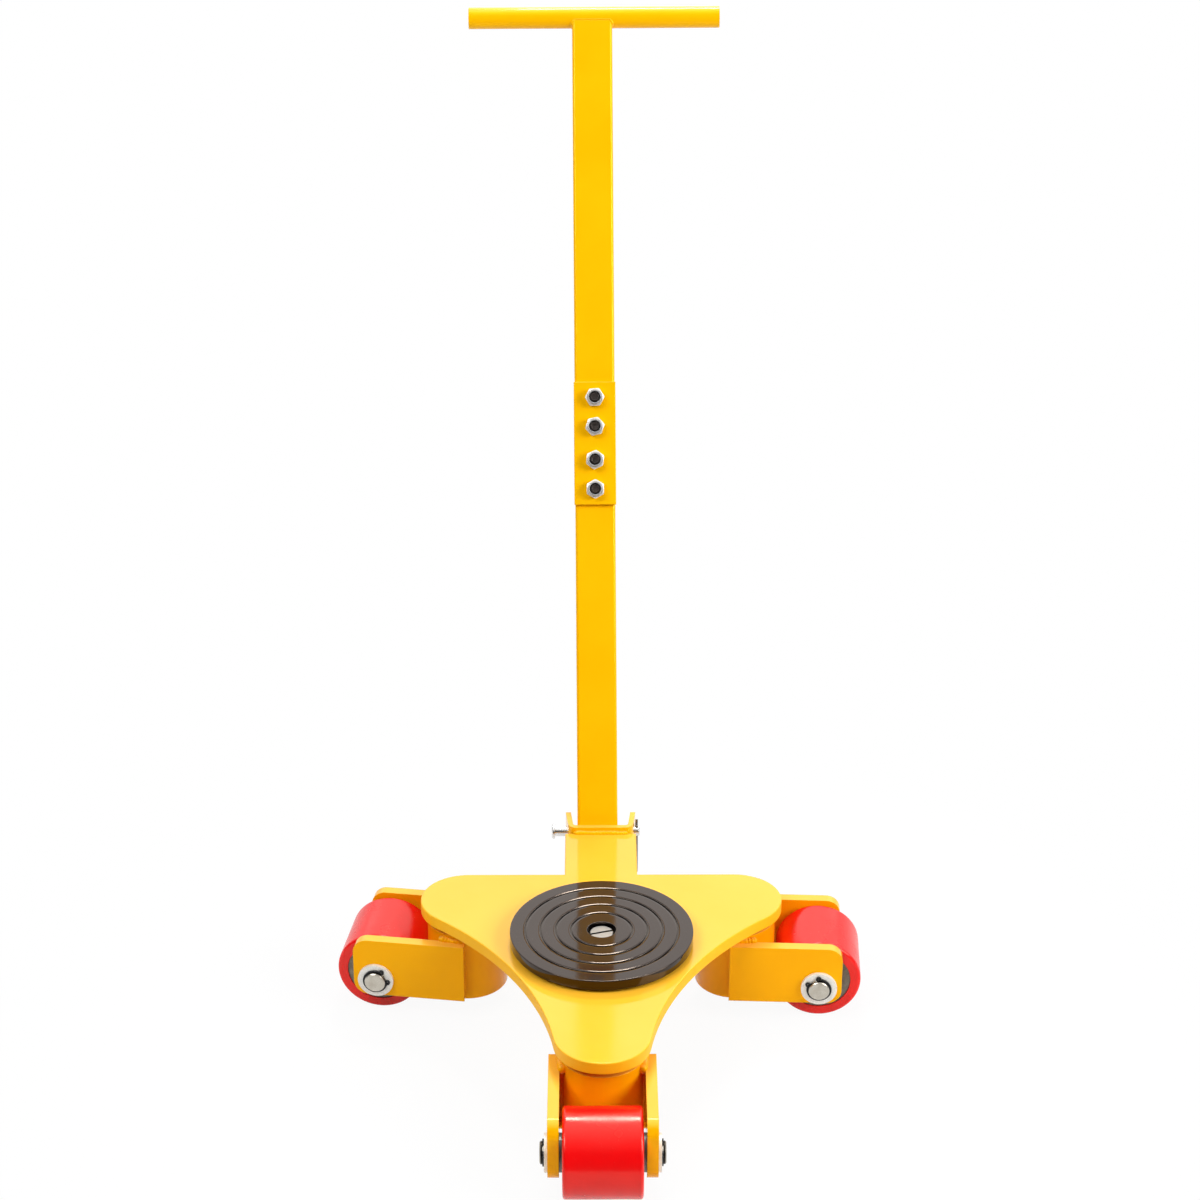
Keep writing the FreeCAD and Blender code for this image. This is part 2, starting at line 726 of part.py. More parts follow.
def circlip(name):
    """External circlip lying on z = 0, its mouth along +X, with an eye in each end."""
    band = ring(name + "_band", "circlip_inner", "circlip_outer", "0", "circlip_thickness")
    mouth = doc.addObject("Part::Box", name + "_mouth")
    mouth.setExpression("Length", bound("circlip_outer + overrun"))
    mouth.setExpression("Width", bound("circlip_mouth"))
    mouth.setExpression("Height", bound("circlip_thickness + 2 * overrun"))
    mouth.setExpression("Placement.Base.y", bound("-circlip_mouth / 2"))
    mouth.setExpression("Placement.Base.z", bound("-overrun"))
    opened = cut(name + "_open", band, mouth)
    across = "circlip_mouth / 2 + circlip_lug_diameter / 2"
    along = "sqrt((circlip_inner + circlip_lug_diameter / 2) ^ 2 - (" + across + ") ^ 2)"
    lugs = []
    eyes = []
    for sign in ("-", ""):
        tag = name + ("_low" if sign else "_high")
        side = sign + "(" + across + ")"
        lugs.append(cylinder(tag + "_lug", "circlip_lug_diameter / 2", "circlip_thickness", along, side))
        eyes.append(cylinder(tag + "_eye", "circlip_eye_diameter / 2", "circlip_thickness + 2 * overrun",
                             along, side, "-overrun"))
    return cut(name, fuse(name + "_lugged", [opened] + lugs), group(name + "_eyes", eyes))


def build_axle(which, place, mouth):
    """Axle of one caster with its spacers, washers and circlips, about the local Z axis."""
    half_section = [
        ("axle_radius - axle_chamfer", "axle_end"),
        ("axle_radius", "axle_end - axle_chamfer"),
        ("axle_radius", "circlip_seat + circlip_thickness + fixed_fit"),
        ("circlip_groove_radius", "circlip_seat + circlip_thickness + fixed_fit"),
        ("circlip_groove_radius", "circlip_seat"),
        ("axle_radius", "circlip_seat"),
    ]
    mirrored = [(radius, "-(" + level + ")") for radius, level in reversed(half_section)]
    ends = [("0", "-(axle_end)"), ("0", "axle_end")]
    axle = turned("axle_body_" + which, half_section + mirrored + ends)
    keep(axle, "axle_" + which, place)
    bore = "axle_radius + fixed_fit"
    washers = []
    clips = []
    for end, sign in (("far", ""), ("near", "-")):
        tag = which + "_" + end
        spacer_levels = (sign + "(core_face + side_clearance)", sign + "(fork_gap / 2)")
        washer_levels = (sign + "(fork_face)", sign + "(circlip_seat)")
        washers.append(ring("spacer_" + tag, bore, "spacer_diameter / 2", *spacer_levels))
        washers.append(ring("axle_washer_" + tag, bore, "axle_washer_diameter / 2", *washer_levels))
        clip = circlip("circlip_" + tag)
        clip.Placement = Placement(Vector(), Rotation(Vector(0, 0, 1), mouth))
        seat = "circlip_seat" if end == "far" else "-(circlip_seat + circlip_thickness)"
        clip.setExpression("Placement.Base.z", bound(seat))
        clips.append(clip)
    keep(group("axle_washer_set_" + which, washers), "axle_washers_" + which, place)
    keep(group("circlip_pair_" + which, clips), "axle_circlips_" + which, place)


def build_roller(which, place):
    """Roller of one caster: a steel core, its tyre, and a sealed bearing in each end."""
    pocket = "roller_bearing_outer / 2 + fixed_fit"
    pocket_floor = "core_face - roller_bearing_width"
    core = turned("core_body_" + which, [
        ("core_bore / 2", "-(" + pocket_floor + ")"),
        (pocket, "-(" + pocket_floor + ")"),
        (pocket, "-(core_face)"),
        ("core_diameter / 2", "-(core_face)"),
        ("core_diameter / 2", "core_face"),
        (pocket, "core_face"),
        (pocket, pocket_floor),
        ("core_bore / 2", pocket_floor),
    ])
    keep(core, "roller_core_" + which, place)
    tread = ring("tread_body_" + which, "core_diameter / 2 + fixed_fit", "roller_radius",
                 "-roller_width / 2", "roller_width / 2")
    outer = size("roller_radius")
    round_edges(tread, "tread_edges_" + which, "tread_edge_radius", lambda edge: is_circle(edge, outer))
    keep(tread, "roller_tread_" + which, place)
    rings = []
    for end, low in (("far", pocket_floor), ("near", "-(core_face)")):
        rings += sealed_bearing("roller_bearing_" + which + "_" + end, "axle_radius + running_fit",
                                "roller_bearing_outer / 2", low, "roller_bearing_width")
    keep(group("roller_bearing_pair_" + which, rings), "roller_bearings_" + which, place)


# Clevis, its pin and the spring clip

def build_clevis(place):
    """Flat strap bent to a U, its web against the tongue's end and its flared legs cross-drilled."""
    body = new_body("clevis_body")
    sketch = new_sketch(body, "XY", "clevis_top - clevis_height")
    web_inside = "tongue_reach + clevis_strap"
    right_side = [
        ("clevis_inner + clevis_flare_wall", "tongue_reach"),
        ("clevis_inner + clevis_flare_wall + clevis_length * clevis_flare_tangent", "clevis_back"),
        ("clevis_inner + clevis_length * clevis_flare_tangent", "clevis_back"),
        ("clevis_inner + clevis_strap * clevis_flare_tangent", web_inside),
    ]
    left_side = [("-(" + across + ")", along) for across, along in reversed(right_side)]
    add_polygon(sketch, right_side + left_side)
    pad = body.newObject("PartDesign::Pad", "clevis_pad")
    pad.Profile = sketch
    pad.setExpression("Length", bound("clevis_height"))
    web = size(web_inside)
    round_edges(body, "clevis_bends_inside", "clevis_bend_radius",
                lambda edge: stands_at(edge, web))
    round_edges(body, "clevis_bends_outside", "clevis_bend_radius + clevis_strap",
                lambda edge: stands_at(edge, size("tongue_reach")))
    span = "clevis_inner_width + 2 * (clevis_flare_wall + clevis_length + overrun)"
    hole = cylinder("clevis_hole", "pin_diameter / 2 + pin_clearance / 2", span, "-(" + span + ") / 2",
                    web_inside + " + pin_setback", "pin_height", Vector(1, 0, 0))
    keep(cut("clevis_drilled", body, hole), "drawbar_clevis", place)


def stands_at(edge, along):
    """Say whether an edge stands upright at a place along Y."""
    box = edge.BoundBox
    level = abs(box.YMax - along) + box.YLength
    return box.XLength + level < NEAR


def build_clevis_pin(place):
    """Headed pin lying along X through the clevis and the handle, cross-drilled for its clip."""
    blank = turned("pin_blank", [
        ("0", "-(pin_head_offset + pin_head_thickness)"),
        ("pin_head_diameter / 2 - pin_chamfer", "-(pin_head_offset + pin_head_thickness)"),
        ("pin_head_diameter / 2", "-(pin_head_offset + pin_head_thickness - pin_chamfer)"),
        ("pin_head_diameter / 2", "-pin_head_offset"),
        ("pin_diameter / 2", "-pin_head_offset"),
        ("pin_diameter / 2", "pin_end_offset - pin_chamfer"),
        ("pin_diameter / 2 - pin_chamfer", "pin_end_offset"),
        ("0", "pin_end_offset"),
    ])
    hole = cylinder("pin_cross_hole", "clip_wire / 2 + pin_clearance / 2", "pin_diameter + 2 * overrun",
                    "-(pin_diameter / 2 + overrun)", "0", "clip_offset", Vector(1, 0, 0))
    along_x = Placement(Vector(), Rotation(Vector(0, 1, 0), 90))
    keep(cut("pin_drilled", blank, hole), "clevis_pin", place * along_x)


def tangent_between(first, first_radius, second, second_radius):
    """Ends of the straight run that leaves one circle and crosses over to touch the far side of another."""
    gap = second - first
    lean = math.acos((first_radius + second_radius) / gap.Length)
    across = Vector(gap).normalize()
    normal = Vector(across.x * math.cos(lean) + across.y * math.sin(lean),
                    across.y * math.cos(lean) - across.x * math.sin(lean), 0)
    return first + normal * first_radius, second - normal * second_radius


def build_pin_clip(place):
    """Spring clip of round wire: one straight leg through the pin, an eye below, one leg hugging the pin."""
    eye = size("clip_eye_radius")
    waist = size("clip_waist_radius")
    flare = size("clip_flare_radius")
    hug = size("clip_hug")
    waist_angle = -math.radians(size("clip_waist_angle"))
    flare_angle = math.radians(size("clip_flare_angle"))
    sweep = math.radians(size("clip_sweep_angle"))
    pin = Vector()
    foot = Vector(0, -size("clip_drop"), 0)
    eye_centre = foot + Vector(eye, 0, 0)
    waist_centre = towards(waist_angle) * (hug + waist)
    flare_centre = towards(flare_angle) * (hug + flare)
    leave, arrive = tangent_between(eye_centre, eye, waist_centre, waist)

    body = new_body("clip_body")
    path = new_sketch(body, "XY")
    leg = path.addGeometry(Part.LineSegment(Vector(0, size("clip_stub"), 0), foot))
    loop = arc(path, eye_centre, eye, math.pi, heading_of(eye_centre, leave))
    run = path.addGeometry(Part.LineSegment(leave, arrive))
    pinch = arc(path, waist_centre, waist, waist_angle + math.pi, heading_of(waist_centre, arrive))
    clasp = arc(path, pin, hug, waist_angle, flare_angle)
    lip = arc(path, flare_centre, flare, flare_angle + math.pi - sweep, flare_angle + math.pi)
    for first, first_end, second, second_end in (
        (leg, 2, loop, 1), (loop, 2, run, 1), (run, 2, pinch, 2), (pinch, 1, clasp, 1), (clasp, 2, lip, 2),
    ):
        path.addConstraint(Sketcher.Constraint("Tangent", first, first_end, second, second_end))
    pin_point(path, leg, 1, "0", "clip_stub")
    pin_point(path, leg, 2, "0", "-clip_drop")
    pin_point(path, clasp, 3, "0", "0")
    set_radius(path, loop, "clip_eye_radius")
    set_radius(path, pinch, "clip_waist_radius")
    set_radius(path, clasp, "clip_hug")
    set_radius(path, lip, "clip_flare_radius")
    tie(path, "DistanceX", pinch, 3, "(clip_hug + clip_waist_radius) * cos(clip_waist_angle * 1 deg)")
    tie(path, "DistanceX", lip, 3, "(clip_hug + clip_flare_radius) * cos(clip_flare_angle * 1 deg)")
    tie(path, "DistanceY", lip, 1, "(clip_hug + clip_flare_radius) * sin(clip_flare_angle * 1 deg)"
        " - clip_flare_radius * sin((clip_flare_angle - clip_sweep_angle) * 1 deg)")
    section = new_sketch(body, "XZ", "-clip_stub")
    add_circle(section, "0", "0", "clip_wire / 2")
    wire = body.newObject("PartDesign::AdditivePipe", "clip_swept")
    wire.Profile = section
    wire.Spine = path
    upright = Rotation(Vector(0, 1, 0), Vector(0, 0, 1), Vector(1, 0, 0))
    keep(body, "pin_clip", place * Placement(Vector(size("clip_offset"), 0, 0), upright))


# Handle

def box_tube(name, low, length):
    """Rectangular tube along Z with rounded corners inside and out."""
    body = new_body(name)
    sketch = new_sketch(body, "XY", low)
    for across, along in (("tube_width / 2", "tube_depth / 2"),
                          ("(tube_width / 2 - tube_wall)", "(tube_depth / 2 - tube_wall)")):
        corners = [("-" + across, "-" + along), (across, "-" + along), (across, along), ("-" + across, along)]
        add_polygon(sketch, corners)
    pad = body.newObject("PartDesign::Pad", name + "_pad")
    pad.Profile = sketch
    pad.setExpression("Length", bound(length))
    for tag, radius, side in (("_outer", "tube_corner_radius", "tube_width / 2"),
                              ("_inner", "tube_corner_radius - tube_wall", "tube_width / 2 - tube_wall")):
        across = size(side)
        round_edges(body, name + tag, radius, lambda edge: stands_beside(edge, across))
    return body


def stands_beside(edge, across):
    """Say whether an edge stands upright at a distance either side of the middle."""
    box = edge.BoundBox
    thin = box.XLength + box.YLength
    return thin < NEAR and abs(abs(box.XMax) - across) < NEAR


BOLT_LEVELS = {
    "lower_far": "tube_joint - bolt_far_offset",
    "lower_near": "tube_joint - bolt_near_offset",
    "upper_near": "tube_joint + bolt_near_offset",
    "upper_far": "tube_joint + bolt_far_offset",
}


def bolt_holes(name, levels):
    """Cylinders that drill the tubes through for the splice bolts."""
    span = "tube_depth + 2 * (splice_thickness + overrun)"
    return [cylinder(name + "_" + tag, "bolt_diameter / 2 + bolt_clearance / 2", span, "0",
                     "-(" + span + ") / 2", BOLT_LEVELS[tag], Vector(0, 1, 0)) for tag in levels]


def build_handle(place):
    """Two tubes spliced end to end by a bolted plate, with a round grip bar across the top."""
    lower = box_tube("lower_tube_body", "-(tube_tail)", "tube_tail + tube_joint - tube_joint_gap / 2")
    pin_hole = cylinder("tube_pin_hole", "pin_diameter / 2 + pin_clearance", "tube_width + 2 * overrun",
                        "-(tube_width / 2 + overrun)", "0", "0", Vector(1, 0, 0))
    drills = bolt_holes("lower_drill", ("lower_far", "lower_near"))
    drilled = cut("lower_tube_drilled", lower, group("lower_drills", [pin_hole] + drills))
    keep(drilled, "lower_handle_tube", place)

    upper = box_tube("upper_tube_body", "tube_joint + tube_joint_gap / 2",
                     "handle_length - tube_joint - tube_joint_gap / 2")
    cope = cylinder("grip_cope", "grip_diameter / 2 + fixed_fit", "tube_width + 2 * overrun",
                    "-(tube_width / 2 + overrun)", "0", "handle_length", Vector(1, 0, 0))
    drills = bolt_holes("upper_drill", ("upper_near", "upper_far"))
    drilled = cut("upper_tube_drilled", upper, group("upper_drills", [cope] + drills))
    keep(drilled, "upper_handle_tube", place)

    bar = ring("grip_body", "grip_diameter / 2 - grip_wall", "grip_diameter / 2",
               "-grip_length / 2", "grip_length / 2")
    top = Vector(size("grip_side_shift"), 0, size("handle_length"))
    keep(bar, "grip_bar", place * Placement(top, Rotation(Vector(0, 1, 0), 90)))

    half = "splice_width / 2"
    low = "tube_joint - splice_length / 2"
    high = "tube_joint + splice_length / 2"
    holes = [("0", level, "bolt_diameter / 2 + bolt_clearance / 2") for level in BOLT_LEVELS.values()]
    plate = padded("splice_body", "XZ", [("-" + half, low), (half, low), (half, high), ("-" + half, high)],
                   "splice_thickness", "tube_depth / 2", holes)
    front = -size("splice_face")
    round_edges(plate, "splice_rim", "splice_edge_radius", lambda edge: lies_in_front(edge, front))
    keep(plate, "splice_plate", place)
    build_splice_fasteners(place)


def lies_in_front(edge, along):
    """Say whether a straight edge lies at a place along Y."""
    box = edge.BoundBox
    return isinstance(edge.Curve, Part.Line) and abs(box.YMin - along) + box.YLength < NEAR


def build_splice_fasteners(place):
    """Four hexagon bolts from the back, a washer under each head and a locking nut on each tip in front."""
    bolts = []
    nuts = []
    washers = []
    to_front = Rotation(Vector(1, 0, 0), 90)
    for tag, level in BOLT_LEVELS.items():
        washers.append(ring("bolt_washer_" + tag, "bolt_diameter / 2 + fixed_fit", "bolt_washer_diameter / 2",
                            "-(tube_depth / 2 + bolt_washer_thickness)", "-tube_depth / 2"))
        head = hexagon("bolt_head_" + tag, "bolt_head_flats", "bolt_head_height",
                       "-(tube_depth / 2 + bolt_washer_thickness + bolt_head_height)")
        shank = cylinder("bolt_shank_" + tag, "bolt_diameter / 2",
                         "tube_depth / 2 + bolt_washer_thickness + nut_top - bolt_end_recess",
                         up="-(tube_depth / 2 + bolt_washer_thickness)")
        bolts.append(fuse("bolt_" + tag, [head, shank]))
        flats = hexagon("nut_flats_" + tag, "nut_flats", "nut_height", "splice_face")
        collar = cylinder("nut_collar_" + tag, "nut_collar_diameter / 2", "nut_height + nut_collar_height",
                          up="splice_face")
        bore = cylinder("nut_bore_" + tag, "bolt_diameter / 2 + fixed_fit",
                        "nut_height + nut_collar_height + 2 * overrun", up="splice_face - overrun")
        nuts.append(cut("nut_" + tag, fuse("nut_blank_" + tag, [flats, collar]), bore))
        for item in (washers[-1], bolts[-1], nuts[-1]):
            item.Placement = Placement(Vector(), to_front)
            item.setExpression("Placement.Base.z", bound(level))
    keep(group("bolt_set", bolts), "splice_bolts", place)
    keep(group("nut_set", nuts), "splice_nuts", place)
    keep(group("washer_set", washers), "splice_washers", place)


# Each caster's place round the plate, its heading, and the way its circlips' mouths face, in degrees

CASTERS = {
    "front": {"place_angle": -90.0, "heading_angle": -90.0, "mouth_angle": -60.0},
    "left": {"place_angle": 150.0, "heading_angle": 171.7, "mouth_angle": -152.0},
    "right": {"place_angle": 30.0, "heading_angle": -2.9, "mouth_angle": -123.0},
}

# Assembly

floor_up = Placement(Vector(0, 0, -size("load_height")), Rotation())
build_load_cap(floor_up)
build_cap_pivot(floor_up)
build_base_plate(floor_up)

upright = Vector(0, 0, 1)
axle_height = size("roller_radius")
for which, angles in CASTERS.items():
    spoke = Rotation(upright, angles["place_angle"]).multVec(Vector(size("pivot_circle_radius"), 0, 0))
    stand = floor_up * Placement(spoke, Rotation(upright, angles["heading_angle"]))
    on_axle = stand * Placement(Vector(size("caster_trail"), 0, axle_height), Rotation(Vector(1, 0, 0), -90))
    build_kingpin(which, stand)
    build_swivel(which, stand)
    build_axle(which, on_axle, angles["mouth_angle"])
    build_roller(which, on_axle)

pin_along = size("tongue_reach + clevis_strap + pin_setback")
at_pin = floor_up * Placement(Vector(0, pin_along, size("pin_height")), Rotation())
build_clevis(floor_up)
build_clevis_pin(at_pin)
build_pin_clip(at_pin)
lean_back = Rotation(Vector(1, 0, 0), -size("handle_lean_angle"))
lean_aside = Rotation(Vector(0, 1, 0), -size("handle_side_angle"))
sideways = Placement(Vector(size("handle_side_shift"), 0, 0), Rotation())
build_handle(at_pin * Placement(Vector(), lean_back) * sideways * Placement(Vector(), lean_aside))

# Check every object, then write one file for each sub-part
doc.recompute()
for item in doc.Objects:
    assert "Invalid" not in item.State and "Error" not in item.State, (item.Name, item.State)
os.makedirs("parts", exist_ok=True)
for item in nodes:
    assert not item.Shape.isNull() and item.Shape.isValid(), item.Label
    item.Shape.exportStep("parts/" + item.Label + ".step")
print(len(nodes), "sub-parts written")
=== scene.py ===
"""Looks of a steerable machine skate: its finishes, welds, fasteners, studio and camera.

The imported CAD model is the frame. Lengths are metres in the CAD's own frame: the origin is
the centre of the load cap's top face, +Z points up and +Y points to the handle.
"""
import json
import logging
import math
from dataclasses import dataclass, replace
from enum import Enum

import bpy
from mathutils import Matrix, Vector


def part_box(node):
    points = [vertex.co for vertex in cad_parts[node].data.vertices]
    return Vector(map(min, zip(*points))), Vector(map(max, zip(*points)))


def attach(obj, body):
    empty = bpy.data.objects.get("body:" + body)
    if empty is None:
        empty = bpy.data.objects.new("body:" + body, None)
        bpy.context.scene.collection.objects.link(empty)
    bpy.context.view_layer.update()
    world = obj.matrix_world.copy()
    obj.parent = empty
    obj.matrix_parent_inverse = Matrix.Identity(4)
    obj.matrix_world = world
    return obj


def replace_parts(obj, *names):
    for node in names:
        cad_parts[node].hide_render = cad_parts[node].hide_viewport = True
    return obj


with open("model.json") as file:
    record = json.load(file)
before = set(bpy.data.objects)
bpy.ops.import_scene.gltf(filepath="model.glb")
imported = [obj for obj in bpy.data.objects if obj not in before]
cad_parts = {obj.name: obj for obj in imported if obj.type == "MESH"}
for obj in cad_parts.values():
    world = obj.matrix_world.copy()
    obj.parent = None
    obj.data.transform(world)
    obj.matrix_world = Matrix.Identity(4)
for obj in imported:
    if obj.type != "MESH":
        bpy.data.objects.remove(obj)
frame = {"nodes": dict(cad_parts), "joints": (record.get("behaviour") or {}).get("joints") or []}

LOG = logging.getLogger("machine_skate")
FULL_TURN = 2 * math.pi
MILLIMETRE = 0.001
WELD_CREASE = 60.0
TINY = 1e-9
WHITE = (1.0, 1.0, 1.0)

Colour = tuple[float, float, float]
Spot = tuple[float, float, float]
Pair = tuple[float, float]
Tree = bpy.types.NodeTree
Node = bpy.types.Node
Socket = bpy.types.NodeSocket
Sockets = bpy.types.bpy_prop_collection
Piece = bpy.types.Object
Material = bpy.types.Material
Loop = list[Vector]
Skin = tuple[Loop, list[tuple[int, ...]]]


class Grain(Enum):
    """How a bare metal's surface was left by its making."""

    TURNED = "fine rings from the lathe"
    PLATED = "small bright crystals"
    DRAWN = "even, slightly stained skin"
    CAST = "pitted skin"


class Side(Enum):
    """The two sides of a swivel, with the sign of its local Y axis."""

    LEFT = 1
    RIGHT = -1


# Node trees


def empty_tree(owner: bpy.types.ID) -> Tree:
    """Give a material, a lamp or the world an empty node tree.

    Args:
        owner: what the tree belongs to.

    Returns:
        The tree.
    """
    owner.use_nodes = True
    owner.node_tree.nodes.clear()
    return owner.node_tree


class Bench:
    """One node tree under construction: adds nodes, fills their sockets and wires them."""

    def __init__(self, tree: Tree) -> None:
        """Keep the tree that the nodes go into."""
        self.tree = tree

    def feed(self, socket: Socket, value: object) -> None:
        """Wire an output into a socket, or set the socket's own value.

        Args:
            socket: the input to fill.
            value: an output to wire in, a number, or a colour or vector as a tuple.
        """
        if isinstance(value, bpy.types.NodeSocket):
            self.tree.links.new(value, socket)
        elif socket.type == "RGBA" and len(value) == 3:
            socket.default_value = (*value, 1.0)
        else:
            socket.default_value = value

    def node(self, kind: str, inputs: dict | None = None, **settings: object) -> Node:
        """Add one node.

        Args:
            kind: the node's type without its common prefix.
            inputs: values or outputs for its sockets, by name or number.
            settings: the node's own properties.

        Returns:
            The new node.
        """
        made = self.tree.nodes.new("ShaderNode" + kind)
        for name, value in settings.items():
            setattr(made, name, value)
        for key, value in (inputs or {}).items():
            self.feed(made.inputs[key], value)
        return made

    def math(self, operation: str, first: object, second: object = 0.0) -> Socket:
        """Combine two numbers and return the result."""
        return self.node("Math", {0: first, 1: second}, operation=operation).outputs[0]

    def times(self, first: object, second: object) -> Socket:
        """Multiply two numbers."""
        return self.math("MULTIPLY", first, second)

    def plus(self, first: object, second: object) -> Socket:
        """Add two numbers."""
        return self.math("ADD", first, second)

    def measure(self, operation: str, first: object, second: object = (0.0, 0.0, 0.0)) -> Socket:
        """Measure one vector, or two against each other, and return the number."""
        made = self.node("VectorMath", {0: first, 1: second}, operation=operation)
        return made.outputs["Value"]

    def along(self, place: Socket, axis: str) -> Socket:
        """One coordinate of a place."""
        return self.node("SeparateXYZ", {0: place}).outputs[axis]

    def from_axis(self, place: Socket) -> Socket:
        """Distance of a place from the Z axis."""
        flat = self.node("VectorMath", {0: place, 1: (1.0, 1.0, 0.0)}, operation="MULTIPLY")
        return self.measure("LENGTH", flat.outputs[0])

    def mix(self, factor: object, first: object, second: object) -> Socket:
        """Mix two colours and return the result."""
        return self.node("Mix", {0: factor, 6: first, 7: second}, data_type="RGBA").outputs[2]

    def span(
        self, value: object, low: float, high: float, to_low: float = 0.0, to_high: float = 1.0
    ) -> Socket:
        """Stretch a range of values to another, held at its ends, and return the result."""
        limits = {"From Min": low, "From Max": high, "To Min": to_low, "To Max": to_high}
        return self.node("MapRange", {"Value": value, **limits}).outputs[0]

    def scaled(self, share: Socket, size: float, ends: Pair) -> Socket:
        """Run a size between two multiples of itself as a share goes from zero to one."""
        return self.span(share, 0.0, 1.0, size * ends[0], size * ends[1])

    def noise(
        self, place: Socket, scale: object, detail: float = 2.0, roughness: float = 0.5
    ) -> Socket:
        """Add cloud noise and return its value."""
        sockets = {"Vector": place, "Scale": scale, "Detail": detail, "Roughness": roughness}
        return self.node("TexNoise", sockets).outputs[0]


class Surface(Bench):
    """One material under construction: its principled shader and the place on the object."""

    def __init__(self, name: str) -> None:
        """Start the material.

        Args:
            name: the material's name.
        """
        self.material = bpy.data.materials.new(name)
        super().__init__(empty_tree(self.material))
        self.shader = self.node("BsdfPrincipled")
        self.node("OutputMaterial", {"Surface": self.shader.outputs[0]})
        self.spot = self.node("TexCoord").outputs["Object"]

    def effect(self, tree: Tree, inputs: dict) -> Sockets:
        """Place a shared group at the place on the object and return its outputs."""
        return self.node("Group", {"Vector": self.spot, **inputs}, node_tree=tree).outputs

    def finish(self, colour: Socket, gloss: Socket, bump: dict, constants: dict) -> Material:
        """Wire the finish into the shader.

        Args:
            colour: the colour over the surface.
            gloss: the roughness over the surface.
            bump: strength, distance, height and normal of the relief.
            constants: the shader's sockets that are the same all over.

        Returns:
            The finished material.
        """
        relief = self.node("Bump", bump).outputs[0]
        wired = {"Base Color": colour, "Roughness": gloss, "Normal": relief, **constants}
        for name, value in wired.items():
            self.feed(self.shader.inputs[name], value)
        return self.material


